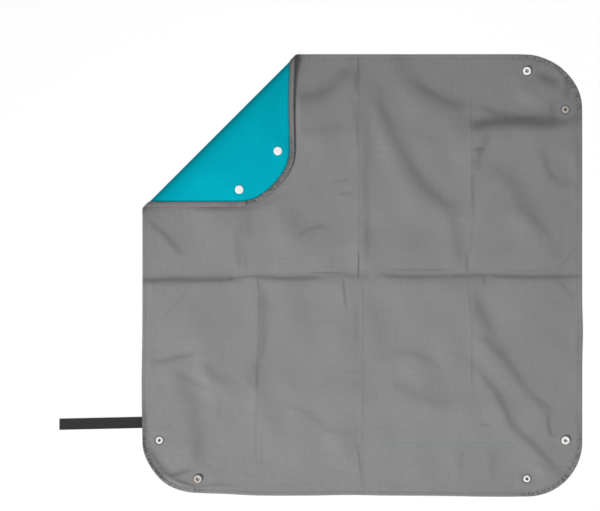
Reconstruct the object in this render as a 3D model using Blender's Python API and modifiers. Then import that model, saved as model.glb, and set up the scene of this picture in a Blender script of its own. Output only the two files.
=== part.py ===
"""Repotting mat: a square of coated fabric with a turned hem and press studs at its rounded corners.

The mat lies on the floor with its work face up. Its top left corner is folded over, a patch pocket is sewn
to its back, and an elastic loop at its left edge holds it when it is folded and rolled up.
All lengths are metres. +X runs to the right, +Y to the top edge and +Z up from the floor.
Every piece is drawn where it lies on the flat mat. Two hinge lines then fold the corner over.
"""

import math
from dataclasses import dataclass

import bmesh
import bpy
from mathutils import Matrix, Vector

MM = 0.001

# The fabric
MAT_WIDTH = 800 * MM
MAT_LENGTH = 803 * MM
CORNER_RADIUS = 98 * MM
FABRIC_THICKNESS = 0.6 * MM

# The edge, turned twice to the back
HEM_WIDTH = 10 * MM
HEM_DEPTH = 1.5 * MM

# Clearance between pieces, and the gap at each fold line
CLEARANCE = 0.3 * MM
FOLD_GAP = 0.3 * MM

# The fold across the middle is two bends with a band between them
CENTRE_BAND_WIDTH = 17 * MM

# The folded corner: its fold line from the square corner along each edge, and the band at its fold
CORNER_FOLD_LEG = 286 * MM
CORNER_BAND_WIDTH = 12 * MM

# Places of the press studs, from the edge that each is on and from the edge beyond the corner
STUD_FROM_EDGE = 31 * MM
STUD_FROM_CORNER = 101 * MM

# Cap on the back, with the tube post that goes through the fabric
CAP_RADIUS = 7.6 * MM
CAP_THICKNESS = 1.2 * MM
CAP_ROUNDING = 0.5 * MM
CAP_FLAT_RADIUS = 6.2 * MM
CAP_WALL = 0.5 * MM
POST_RADIUS = 1.9 * MM
POST_BORE_RADIUS = 1.4 * MM
POST_RIM_RADIUS = 2.6 * MM
POST_RIM_HEIGHT = 0.5 * MM
POST_RIM_ROUNDING = 0.2 * MM

# Socket on the work face
SOCKET_RADIUS = 7.4 * MM
SOCKET_HEIGHT = 4.2 * MM
SOCKET_FLOOR = 0.5 * MM
SOCKET_OPENING_RADIUS = 3.6 * MM
SOCKET_LIP = 0.4 * MM
SOCKET_ROUNDING = 0.8 * MM
GROOVE_DEPTH = 0.8 * MM

# Split ring spring in the socket's groove, and how far it reaches into the opening
SPRING_WIRE_RADIUS = 0.3 * MM
SPRING_REACH = 0.55 * MM
SPRING_RADIUS = SOCKET_OPENING_RADIUS - SPRING_REACH + SPRING_WIRE_RADIUS
SPRING_OPENING = math.radians(40)

# Stud on the work face
STUD_RADIUS = 6.2 * MM
STUD_FLANGE = 0.5 * MM
STUD_FLANGE_ROUNDING = 0.2 * MM
STUD_HEIGHT = 2.6 * MM
STUD_NECK_RADIUS = 2.9 * MM
STUD_HEAD_RADIUS = 3.2 * MM
STUD_HEAD_HEIGHT = 0.9 * MM
STUD_HEAD_ROUNDING = 0.3 * MM

# Pocket patch on the back: its size, and how far its right side keeps from the cap of the stud beside it
POCKET_WIDTH = 248 * MM
POCKET_DEPTH = 88 * MM
POCKET_FROM_CAP = 13.4 * MM
POCKET_CORNER_RADIUS = 8 * MM

# Elastic loop of two layers, and the end that is sewn in under the hem
STRAP_LENGTH = 150.7 * MM
STRAP_WIDTH = 20.5 * MM
STRAP_LAYER = 0.9 * MM
STRAP_LAYER_GAP = 0.6 * MM
STRAP_SEAM_LENGTH = 9 * MM
STRAP_BELOW_CENTRE = 268 * MM
TAB_LENGTH = 14 * MM

# How finely round shapes are cut, and how far cutters run past what they cut
CORNER_STEPS = 12
SMALL_CORNER_STEPS = 4
TURNED_STEPS = 22
SPRING_STEPS = 16
SPRING_BEVEL_STEPS = 2
OVERRUN = 5 * MM
MERGE_DISTANCE = 0.001 * MM

# Levels above the floor on the flat mat
SHEET_BOTTOM = HEM_DEPTH
SHEET_TOP = SHEET_BOTTOM + FABRIC_THICKNESS
FOLD_LEVEL = SHEET_TOP + CLEARANCE
FITTING_BASE = SHEET_TOP + CLEARANCE
CAP_TOP = SHEET_BOTTOM - CLEARANCE
CAP_BOTTOM = CAP_TOP - CAP_THICKNESS

# The mat's edges: the strap reaches past the left one, and the whole is centred on the origin
MAT_CENTRE_X = (STRAP_LENGTH + CLEARANCE) / 2
LEFT = MAT_CENTRE_X - MAT_WIDTH / 2
RIGHT = MAT_CENTRE_X + MAT_WIDTH / 2
TOP = MAT_LENGTH / 2
BOTTOM = -MAT_LENGTH / 2

# The fold lines across the middle, halfway in the gaps beside the band
HALF_GAP = FOLD_GAP / 2
CENTRE_FOLD = CENTRE_BAND_WIDTH / 2 + HALF_GAP

# The corner's bends, as distances beyond the first along the corner's diagonal
DIAGONAL = math.sqrt(2)
TO_SQUARE_CORNER = CORNER_FOLD_LEG / DIAGONAL
SECOND_BEND = CORNER_BAND_WIDTH + FOLD_GAP

# The flap comes down from its fold until its socket, or its rounded tip, lies on the mat
FLAP_LENGTH = TO_SQUARE_CORNER - SECOND_BEND - CORNER_RADIUS * (DIAGONAL - 1)
SOCKET_REACH = TO_SQUARE_CORNER - SECOND_BEND - (STUD_FROM_EDGE + STUD_FROM_CORNER) / DIAGONAL + SOCKET_RADIUS
TILT_ON_TIP = math.asin((SECOND_BEND + CLEARANCE) / FLAP_LENGTH)
TILT_ON_SOCKET = math.asin((SECOND_BEND - SOCKET_HEIGHT) / SOCKET_REACH)
CORNER_BEND = (math.pi + min(TILT_ON_TIP, TILT_ON_SOCKET)) / 2

# The strap swings over about a line that lays it on the work face
STRAP_THICKNESS = 2 * STRAP_LAYER + STRAP_LAYER_GAP
STRAP_SWING_LEVEL = (STRAP_THICKNESS + SHEET_TOP + CLEARANCE) / 2
STRAP_SWING_X = LEFT - CLEARANCE / 2

GREY = (0.246, 0.240, 0.235, 1)
TEAL = (0.0, 0.402, 0.497, 1)
WHITE = (0.85, 0.85, 0.84, 1)
NICKEL = (0.70, 0.68, 0.65, 1)
STEEL = (0.50, 0.48, 0.45, 1)
BLACK = (0.006, 0.006, 0.007, 1)


@dataclass
class Hinge:
    """A hinge line: an empty on it, and its place on the flat mat."""

    empty: bpy.types.Object
    flat_place: Vector


@dataclass
class Workshop:
    """The collections and materials that the pieces are made with."""

    parts: bpy.types.Collection
    cutters: bpy.types.Collection
    materials: dict


def clear_scene():
    """Removes everything that the start-up file holds."""
    for obj in list(bpy.data.objects):
        bpy.data.objects.remove(obj, do_unlink=True)


def new_collection(name):
    """Makes a collection in the scene and returns it."""
    collection = bpy.data.collections.new(name)
    bpy.context.scene.collection.children.link(collection)
    return collection


def new_material(name, colour, roughness, metallic=0.0):
    """Makes a Principled material and returns it."""
    material = bpy.data.materials.new(name)
    material.use_nodes = True
    shader = material.node_tree.nodes["Principled BSDF"]
    shader.inputs["Base Color"].default_value = colour
    shader.inputs["Roughness"].default_value = roughness
    shader.inputs["Metallic"].default_value = metallic
    return material


def new_object(name, data, collection, *materials):
    """Makes an object in a collection, with its materials, and returns it."""
    obj = bpy.data.objects.new(name, data)
    collection.objects.link(obj)
    for material in materials:
        data.materials.append(material)
    return obj


def new_hinge(name, flat_place, axis, angle, collection, carrier=None):
    """An empty on a hinge line. What hangs on it keeps its place on the flat mat, turned by the angle."""
    flat_place = Vector(flat_place)
    empty = bpy.data.objects.new(name, None)
    collection.objects.link(empty)
    empty.rotation_mode = "QUATERNION"
    empty.rotation_quaternion = Matrix.Rotation(angle, 3, Vector(axis)).to_quaternion()
    hinge = Hinge(empty, flat_place)
    empty.location = flat_place
    if carrier:
        hang(empty, carrier)
    return hinge


def hang(obj, hinge):
    """Parents an object, placed as on the flat mat, to a hinge."""
    obj.parent = hinge.empty
    obj.location = obj.location - hinge.flat_place


def rounded_outline(corners, steps=CORNER_STEPS):
    """Points round a convex outline. Each corner is x, y and the radius that rounds it."""
    points = []
    for i, (x, y, radius) in enumerate(corners):
        here = Vector((x, y))
        if radius <= 0:
            points.append(here)
            continue
        before = (Vector(corners[i - 1][:2]) - here).normalized()
        after = (Vector(corners[(i + 1) % len(corners)][:2]) - here).normalized()
        half_angle = before.angle(after) / 2
        centre = here + (before + after).normalized() * radius / math.sin(half_angle)
        start = here + before * radius / math.tan(half_angle) - centre
        turn = math.copysign(math.pi - 2 * half_angle, after.cross(before))
        for step in range(steps + 1):
            points.append(centre + Matrix.Rotation(turn * step / steps, 2) @ start)
    return points


def slab(name, outlines, low, high, collection, *materials):
    """A flat solid from its outlines, of which the later ones are holes, between two levels."""
    curve = bpy.data.curves.new(name, "CURVE")
    curve.dimensions = "2D"
    curve.fill_mode = "BOTH"
    curve.extrude = (high - low) / 2
    for outline in outlines:
        spline = curve.splines.new("POLY")
        spline.points.add(len(outline) - 1)
        for point, place in zip(spline.points, outline):
            point.co = (place[0], place[1], 0, 1)
        spline.use_cyclic_u = True
    guide = new_object(name + "_outline", curve, collection)
    mesh = shown_mesh(guide)
    bpy.data.objects.remove(guide, do_unlink=True)
    weld(mesh)
    mesh.transform(Matrix.Translation((0, 0, (low + high) / 2)))
    return new_object(name, mesh, collection, *materials)


def shown_mesh(obj):
    """An object's shape as shown, as a mesh of its own."""
    bpy.context.view_layer.update()
    evaluated = obj.evaluated_get(bpy.context.evaluated_depsgraph_get())
    return bpy.data.meshes.new_from_object(evaluated)


def weld(mesh):
    """Joins a mesh's loose caps to its sides and turns its faces out."""
    body = bmesh.new()
    body.from_mesh(mesh)
    bmesh.ops.remove_doubles(body, verts=body.verts, dist=MERGE_DISTANCE)
    bmesh.ops.recalc_face_normals(body, faces=body.faces)
    body.to_mesh(mesh)
    body.free()


def cut(obj, cutter):
    """Cuts a cutter's shape out of an object."""
    modifier = obj.modifiers.new("Cut " + cutter.name, "BOOLEAN")
    modifier.operation = "DIFFERENCE"
    modifier.solver = "EXACT"
    modifier.material_mode = "TRANSFER"
    modifier.object = cutter


def as_cutter(obj):
    """Hides an object that only cuts others, and shows it as wires."""
    obj.hide_render = True
    obj.display_type = "WIRE"
    return obj


def turned(name, profile, closed, collection, material):
    """A turned piece from a profile of radius and height, listed from its top down its outer side."""
    mesh = bpy.data.meshes.new(name)
    edges = [(i, i + 1) for i in range(len(profile) - 1)]
    if closed:
        edges.append((len(profile) - 1, 0))
    mesh.from_pydata([(radius, 0, height) for radius, height in profile], edges, [])
    obj = new_object(name, mesh, collection, material)
    screw = obj.modifiers.new("Turn", "SCREW")
    screw.axis = "Z"
    screw.angle = 2 * math.pi
    screw.steps = TURNED_STEPS
    screw.render_steps = TURNED_STEPS
    screw.use_merge_vertices = True
    screw.merge_threshold = MERGE_DISTANCE
    return obj


def fold_line_ends(beyond):
    """Where a line that far beyond the corner's first bend meets the top edge and the left edge."""
    leg = CORNER_FOLD_LEG - beyond * DIAGONAL
    return (LEFT + leg, TOP, 0), (LEFT, TOP - leg, 0)


def press_stud_places():
    """Each corner's name, with the places of its stud and its socket on the flat mat.

    Clockwise, each edge has its stud first and its socket last, so pinching a corner along its diagonal
    brings its stud onto its socket.
    """
    near = STUD_FROM_EDGE
    far = STUD_FROM_CORNER
    return {
        "upper_left": ((LEFT + far, TOP - near), (LEFT + near, TOP - far)),
        "upper_right": ((RIGHT - near, TOP - far), (RIGHT - far, TOP - near)),
        "lower_right": ((RIGHT - far, BOTTOM + near), (RIGHT - near, BOTTOM + far)),
        "lower_left": ((LEFT + near, BOTTOM + far), (LEFT + far, BOTTOM + near)),
    }


def make_hinges(collection):
    """The empties on the fold lines and on the strap's line, by name."""
    right = Vector((1, 0, 0))
    along_fold = Vector((1, 1, 0)).normalized()
    to_corner = Vector((-1, 1, 0)).normalized()
    first_bend = Vector((LEFT, TOP, FOLD_LEVEL)) - to_corner * TO_SQUARE_CORNER
    second_bend = first_bend + to_corner * SECOND_BEND
    middle = (MAT_CENTRE_X, -CENTRE_FOLD, FOLD_LEVEL)
    middle_over = (MAT_CENTRE_X, CENTRE_FOLD, FOLD_LEVEL)
    strap_line = (STRAP_SWING_X, -STRAP_BELOW_CENTRE, STRAP_SWING_LEVEL)

    hinges = {"half_fold": new_hinge("half_fold", middle, right, 0, collection)}
    hinges["half_fold_over"] = new_hinge(
        "half_fold_over", middle_over, right, 0, collection, hinges["half_fold"]
    )
    hinges["corner_fold"] = new_hinge(
        "corner_fold", first_bend, along_fold, CORNER_BEND, collection, hinges["half_fold_over"]
    )
    hinges["corner_fold_over"] = new_hinge(
        "corner_fold_over", second_bend, along_fold, CORNER_BEND, collection, hinges["corner_fold"]
    )
    hinges["strap_swing"] = new_hinge("strap_swing", strap_line, Vector((0, 1, 0)), 0, collection)
    return hinges


def make_post_cutter(cutters):
    """One cutter with a round hole through the fabric for every post."""
    holes = bmesh.new()
    for places in press_stud_places().values():
        for x, y in places:
            bmesh.ops.create_cone(
                holes,
                cap_ends=True,
                segments=TURNED_STEPS,
                radius1=POST_RADIUS + CLEARANCE,
                radius2=POST_RADIUS + CLEARANCE,
                depth=SHEET_TOP + 2 * OVERRUN,
                matrix=Matrix.Translation((x, y, SHEET_TOP / 2)),
            )
    mesh = bpy.data.meshes.new("post_holes")
    holes.to_mesh(mesh)
    holes.free()
    return as_cutter(new_object("post_holes", mesh, cutters))


def make_hem_cutter(cutters, back):
    """The space under the sheet inside the turned hem, where the back's colour shows."""
    left, right = LEFT + HEM_WIDTH, RIGHT - HEM_WIDTH
    low, high = BOTTOM + HEM_WIDTH, TOP - HEM_WIDTH
    radius = CORNER_RADIUS - HEM_WIDTH
    corners = [(left, low, radius), (right, low, radius), (right, high, radius), (left, high, radius)]
    outline = rounded_outline(corners)
    return as_cutter(slab("inside_hem", [outline], -OVERRUN, SHEET_BOTTOM, cutters, back))


def make_strap_cutter(cutters):
    """The notch in the hem where the strap's end is sewn in under the sheet."""
    half_width = STRAP_WIDTH / 2 + CLEARANCE
    left, right = LEFT - OVERRUN, LEFT + TAB_LENGTH + CLEARANCE
    low, high = -STRAP_BELOW_CENTRE - half_width, -STRAP_BELOW_CENTRE + half_width
    outline = [(left, low), (right, low), (right, high), (left, high)]
    return as_cutter(slab("strap_notch", [outline], -OVERRUN, SHEET_BOTTOM, cutters))


def make_fabric(shop, hinges):
    """The mat's five nodes, which meet at its fold lines."""
    half_band = CENTRE_BAND_WIDTH / 2
    outlines = {
        "mat_lower": [
            (LEFT, -CENTRE_FOLD - HALF_GAP, 0),
            (LEFT, BOTTOM, CORNER_RADIUS),
            (RIGHT, BOTTOM, CORNER_RADIUS),
            (RIGHT, -CENTRE_FOLD - HALF_GAP, 0),
        ],
        "mat_centre_band": [
            (LEFT, -half_band, 0),
            (RIGHT, -half_band, 0),
            (RIGHT, half_band, 0),
            (LEFT, half_band, 0),
        ],
        "mat_upper": [
            (LEFT, CENTRE_FOLD + HALF_GAP, 0),
            (RIGHT, CENTRE_FOLD + HALF_GAP, 0),
            (RIGHT, TOP, CORNER_RADIUS),
            *fold_line_ends(-HALF_GAP),
        ],
        "corner_band": [
            *fold_line_ends(HALF_GAP),
            *reversed(fold_line_ends(SECOND_BEND - HALF_GAP)),
        ],
        "corner_flap": [
            *fold_line_ends(SECOND_BEND + HALF_GAP),
            (LEFT, TOP, CORNER_RADIUS),
        ],
    }
    hems = make_hem_cutter(shop.cutters, shop.materials["fabric_back"])
    posts = make_post_cutter(shop.cutters)
    strap_notch = make_strap_cutter(shop.cutters)
    cutters = {
        "mat_lower": [hems, posts, strap_notch],
        "mat_centre_band": [hems],
        "mat_upper": [hems, posts],
        "corner_band": [hems],
        "corner_flap": [hems, posts],
    }
    carriers = {
        "mat_centre_band": "half_fold",
        "mat_upper": "half_fold_over",
        "corner_band": "corner_fold",
        "corner_flap": "corner_fold_over",
    }
    for name, corners in outlines.items():
        outline = rounded_outline(corners)
        piece = slab(name, [outline], 0, SHEET_TOP, shop.parts, shop.materials["fabric_face"])
        for cutter in cutters[name]:
            cut(piece, cutter)
        flat_mesh = shown_mesh(piece)
        piece.modifiers.clear()
        piece.data = flat_mesh
        if name in carriers:
            hang(piece, hinges[carriers[name]])


def cap_profile(post_height):
    """Half section of a cap: its bore, the rim rolled over at post_height, its post and its disc."""
    rim_top = post_height + POST_RIM_HEIGHT
    return [
        (0, CAP_BOTTOM + CAP_WALL),
        (POST_BORE_RADIUS, CAP_BOTTOM + CAP_WALL),
        (POST_BORE_RADIUS, rim_top),
        (POST_RIM_RADIUS - POST_RIM_ROUNDING, rim_top),
        (POST_RIM_RADIUS, rim_top - POST_RIM_ROUNDING),
        (POST_RIM_RADIUS, post_height),
        (POST_RADIUS, post_height),
        (POST_RADIUS, CAP_TOP),
        (CAP_RADIUS, CAP_TOP),
        (CAP_RADIUS, CAP_BOTTOM + CAP_ROUNDING),
        (CAP_FLAT_RADIUS, CAP_BOTTOM),
        (0, CAP_BOTTOM),
    ]


def socket_profile():
    """Half section of a socket: a ring with a floor, and a groove under its lip for the spring."""
    top = FITTING_BASE + SOCKET_HEIGHT
    floor = FITTING_BASE + SOCKET_FLOOR
    groove_top = top - SOCKET_LIP
    groove_bottom = groove_top - 2 * (SPRING_WIRE_RADIUS + CLEARANCE)
    groove_radius = SOCKET_OPENING_RADIUS + GROOVE_DEPTH
    hole_radius = POST_RADIUS + CLEARANCE
    return [
        (SOCKET_OPENING_RADIUS, top),
        (SOCKET_RADIUS - SOCKET_ROUNDING, top),
        (SOCKET_RADIUS, top - SOCKET_ROUNDING),
        (SOCKET_RADIUS, FITTING_BASE),
        (hole_radius, FITTING_BASE),
        (hole_radius, floor),
        (SOCKET_OPENING_RADIUS, floor),
        (SOCKET_OPENING_RADIUS, groove_bottom),
        (groove_radius, groove_bottom),
        (groove_radius, groove_top),
        (SOCKET_OPENING_RADIUS, groove_top),
    ]


def stud_profile():
    """Half section of a stud: a head and neck on a flange, with a hole for the post."""
    top = FITTING_BASE + STUD_HEIGHT
    flange_top = FITTING_BASE + STUD_FLANGE
    hole_radius = POST_RADIUS + CLEARANCE
    return [
        (hole_radius, top),
        (STUD_HEAD_RADIUS - STUD_HEAD_ROUNDING, top),
        (STUD_HEAD_RADIUS, top - STUD_HEAD_ROUNDING),
        (STUD_HEAD_RADIUS, top - STUD_HEAD_HEIGHT + STUD_HEAD_ROUNDING),
        (STUD_NECK_RADIUS, top - STUD_HEAD_HEIGHT),
        (STUD_NECK_RADIUS, flange_top),
        (STUD_RADIUS - STUD_FLANGE_ROUNDING, flange_top),
        (STUD_RADIUS, flange_top - STUD_FLANGE_ROUNDING),
        (STUD_RADIUS, FITTING_BASE),
        (hole_radius, FITTING_BASE),
    ]


def make_spring(name, collection, material):
    """The split ring of spring wire that lies in a socket's groove."""
    curve = bpy.data.curves.new(name, "CURVE")
    curve.dimensions = "3D"
    curve.bevel_depth = SPRING_WIRE_RADIUS
    curve.bevel_resolution = SPRING_BEVEL_STEPS
    curve.use_fill_caps = True
    level = FITTING_BASE + SOCKET_HEIGHT - SOCKET_LIP - CLEARANCE - SPRING_WIRE_RADIUS
    arc = 2 * math.pi - SPRING_OPENING
    spline = curve.splines.new("POLY")
    spline.points.add(SPRING_STEPS)
    for step, point in enumerate(spline.points):
        angle = SPRING_OPENING / 2 + arc * step / SPRING_STEPS
        x = SPRING_RADIUS * math.cos(angle)
        y = SPRING_RADIUS * math.sin(angle)
        point.co = (x, y, level, 1)
    return new_object(name, curve, collection, material)


def make_press_studs(shop, hinges):
    """At each corner a stud and a socket, each with its cap on the back, and the socket's spring."""
    carriers = {"upper_left": hinges["corner_fold_over"], "upper_right": hinges["half_fold_over"]}
    over_stud = FITTING_BASE + STUD_HEIGHT + CLEARANCE
    over_socket_floor = FITTING_BASE + SOCKET_FLOOR + CLEARANCE
    white = shop.materials["cap_white"]
    nickel = shop.materials["nickel"]
    for corner, (stud_place, socket_place) in press_stud_places().items():
        stud = turned("stud_" + corner, stud_profile(), True, shop.parts, nickel)
        stud_cap = turned("cap_stud_" + corner, cap_profile(over_stud), False, shop.parts, white)
        socket = turned("socket_" + corner, socket_profile(), True, shop.parts, nickel)
        socket_cap = turned("cap_socket_" + corner, cap_profile(over_socket_floor), False, shop.parts, white)
        spring = make_spring("spring_" + corner, shop.parts, shop.materials["spring_wire"])
        for piece in (stud, stud_cap):
            piece.location = (*stud_place, 0)
        for piece in (socket, socket_cap, spring):
            piece.location = (*socket_place, 0)
        for piece in (stud, stud_cap, socket, socket_cap, spring):
            if corner in carriers:
                hang(piece, carriers[corner])


def make_pocket(shop):
    """The patch sewn to the back above the lower hem, with its upper corners rounded."""
    right = RIGHT - STUD_FROM_CORNER - CAP_RADIUS - POCKET_FROM_CAP
    left = right - POCKET_WIDTH
    low = BOTTOM + HEM_WIDTH + CLEARANCE
    high = low + POCKET_DEPTH
    corners = [
        (left, low, 0),
        (right, low, 0),
        (right, high, POCKET_CORNER_RADIUS),
        (left, high, POCKET_CORNER_RADIUS),
    ]
    outline = rounded_outline(corners, SMALL_CORNER_STEPS)
    top = SHEET_BOTTOM - CLEARANCE
    slab("pocket_patch", [outline], top - FABRIC_THICKNESS, top, shop.parts, shop.materials["fabric_back"])


def make_strap(shop, hinges):
    """The elastic loop beside the mat, and its end sewn in under the hem."""
    root = LEFT - CLEARANCE
    tip = root - STRAP_LENGTH
    half_gap = STRAP_LAYER_GAP / 2
    outer = [
        (root, 0, 0),
        (root, STRAP_THICKNESS, 0),
        (tip, STRAP_THICKNESS, STRAP_THICKNESS / 2),
        (tip, 0, STRAP_THICKNESS / 2),
    ]
    inner = [
        (root - STRAP_SEAM_LENGTH, STRAP_LAYER, half_gap),
        (root - STRAP_SEAM_LENGTH, STRAP_LAYER + STRAP_LAYER_GAP, half_gap),
        (tip + STRAP_LAYER, STRAP_LAYER + STRAP_LAYER_GAP, half_gap),
        (tip + STRAP_LAYER, STRAP_LAYER, half_gap),
    ]
    side_view = [rounded_outline(outer, SMALL_CORNER_STEPS), rounded_outline(inner, SMALL_CORNER_STEPS)]
    elastic = shop.materials["elastic"]
    loop = slab("strap_loop", side_view, -STRAP_WIDTH / 2, STRAP_WIDTH / 2, shop.parts, elastic)
    loop.data.transform(Matrix.Rotation(math.pi / 2, 4, "X"))
    loop.location.y = -STRAP_BELOW_CENTRE
    hang(loop, hinges["strap_swing"])

    low, high = -STRAP_BELOW_CENTRE - STRAP_WIDTH / 2, -STRAP_BELOW_CENTRE + STRAP_WIDTH / 2
    end = LEFT + TAB_LENGTH
    outline = [(LEFT, low), (end, low), (end, high), (LEFT, high)]
    slab("strap_tab", [outline], 0, SHEET_BOTTOM - CLEARANCE, shop.parts, elastic)


def smooth_round_pieces(collection):
    """Shades the round pieces smooth and keeps their real edges sharp."""
    for obj in collection.objects:
        if obj.type == "MESH" and obj.modifiers:
            obj.data.shade_smooth()


def main():
    """Builds the mat."""
    clear_scene()
    materials = {
        "fabric_face": new_material("grey_coated_fabric", GREY, 0.6),
        "fabric_back": new_material("teal_coated_fabric", TEAL, 0.5),
        "cap_white": new_material("white_enamelled_cap", WHITE, 0.3),
        "nickel": new_material("nickel_plated_brass", NICKEL, 0.3, 1.0),
        "spring_wire": new_material("spring_steel", STEEL, 0.35, 1.0),
        "elastic": new_material("black_elastic", BLACK, 0.9),
    }
    shop = Workshop(new_collection("repotting_mat"), new_collection("cutters"), materials)
    hinges = make_hinges(shop.parts)
    make_fabric(shop, hinges)
    make_press_studs(shop, hinges)
    make_pocket(shop)
    make_strap(shop, hinges)
    smooth_round_pieces(shop.parts)


if __name__ == "__main__":
    main()
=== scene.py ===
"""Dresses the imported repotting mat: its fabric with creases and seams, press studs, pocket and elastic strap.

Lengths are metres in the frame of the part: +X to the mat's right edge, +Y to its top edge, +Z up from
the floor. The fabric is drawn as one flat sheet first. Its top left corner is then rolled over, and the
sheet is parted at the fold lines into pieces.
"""

import logging
import math
from collections.abc import Callable
from dataclasses import dataclass, field
from enum import Enum
from functools import partial

import bmesh
import bpy
import numpy as np
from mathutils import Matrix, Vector


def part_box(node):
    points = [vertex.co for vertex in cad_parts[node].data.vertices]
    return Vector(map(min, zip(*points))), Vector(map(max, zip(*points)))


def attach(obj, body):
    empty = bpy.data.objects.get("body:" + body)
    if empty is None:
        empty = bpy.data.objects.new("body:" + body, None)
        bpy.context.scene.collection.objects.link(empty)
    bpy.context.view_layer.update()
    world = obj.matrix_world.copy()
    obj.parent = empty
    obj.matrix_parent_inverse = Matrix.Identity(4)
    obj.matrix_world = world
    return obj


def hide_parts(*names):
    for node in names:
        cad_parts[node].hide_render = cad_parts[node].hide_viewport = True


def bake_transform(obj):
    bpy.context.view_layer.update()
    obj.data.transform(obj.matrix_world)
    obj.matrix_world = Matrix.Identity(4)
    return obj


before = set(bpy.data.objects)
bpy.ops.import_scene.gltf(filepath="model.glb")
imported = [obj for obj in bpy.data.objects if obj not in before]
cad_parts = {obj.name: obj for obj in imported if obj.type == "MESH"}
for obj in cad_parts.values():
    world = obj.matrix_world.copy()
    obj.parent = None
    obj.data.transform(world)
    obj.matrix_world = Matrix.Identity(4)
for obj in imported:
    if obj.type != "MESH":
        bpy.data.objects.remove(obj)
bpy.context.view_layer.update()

MM = 0.001
LOG = logging.getLogger("repotting_mat")

# Where the photograph shows the mat's middle, its scale, and its size in pixels
PHOTO_MIDDLE = (362.3, 275.0)
PHOTO_PIXEL = 1.818 * MM
PHOTO_SIZE = (600, 511)

# The near black of the shade painted in hollows
PAINTED_HOLLOW_SHADE = "#1E1C1A"
WHITE = (1.0, 1.0, 1.0, 1.0)
# A wave texture of scale 1 has a band every pi / 10 units
WAVE_BAND = math.pi / 10

Array = np.ndarray
Colour = tuple[float, float, float, float]
Place = tuple[float, float, float]
Tree = bpy.types.NodeTree
Socket = bpy.types.NodeSocket
Material = bpy.types.Material
Mesh = bpy.types.Mesh
Object = bpy.types.Object
Adder = Callable[..., Socket]


def linear(hex_colour: str) -> Colour:
    """Turns an sRGB hex colour to the linear values that a shader takes.

    Args:
        hex_colour: the colour as #RRGGBB.

    Returns:
        Linear red, green, blue and an alpha of 1.
    """
    channels = [int(hex_colour[start : start + 2], 16) / 255 for start in (1, 3, 5)]
    curve = [c / 12.92 if c <= 0.04045 else ((c + 0.055) / 1.055) ** 2.4 for c in channels]
    return (*curve, 1.0)


def add_node(
    tree: Tree, kind: str, output: str | int | None, inputs: dict[str | int, object], **settings: object
) -> Socket | None:
    """Adds a node with its settings and links.

    Args:
        tree: the node tree that it goes into.
        kind: its type's name, less the ShaderNode that all of them start with.
        output: the name or number of the output that is wanted, if it has any.
        inputs: a value, or the socket to link from, for each input by name or number.
        settings: the node's own properties.

    Returns:
        The wanted output.
    """
    node = tree.nodes.new("ShaderNode" + kind)
    for name, value in settings.items():
        setattr(node, name, value)
    for name, value in inputs.items():
        if isinstance(value, Socket):
            tree.links.new(value, node.inputs[name])
        else:
            node.inputs[name].default_value = value
    return None if output is None else node.outputs[output]


def smooth(value: Array | float, low: float, high: float) -> Array:
    """Rises smoothly from 0 at low to 1 at high."""
    share = np.clip((value - low) / (high - low), 0, 1)
    return share * share * (3 - 2 * share)


def bell(distance: Array, width: float) -> Array:
    """A bell curve, 1 at no distance and a third at the width."""
    return np.exp(-((distance / width) ** 2))


@dataclass(frozen=True)
class Finish:
    """A finish of the mat or its surroundings, with its name and its colour."""

    name: str
    colour: str

    def build(self) -> Material:
        """Makes the material.

        Returns:
            The material, with the nodes that the finish gives it.
        """
        material = bpy.data.materials.new(self.name)
        material.use_nodes = True
        tree = material.node_tree
        tree.nodes.clear()
        shader = self.surface(partial(add_node, tree))
        add_node(tree, "OutputMaterial", None, {"Surface": shader})
        return material

    def surface(self, add: Adder) -> Socket:
        """Adds the nodes of the surface.

        Args:
            add: adds a node to the material.

        Returns:
            The shader's output.
        """
        raise NotImplementedError

    def shaded(self, add: Adder, brightness: Socket) -> Socket:
        """The finish's colour, brighter or darker from place to place."""
        colour = linear(self.colour)[:3]
        return add("VectorMath", "Vector", {0: colour, "Scale": brightness}, operation="SCALE")


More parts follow.
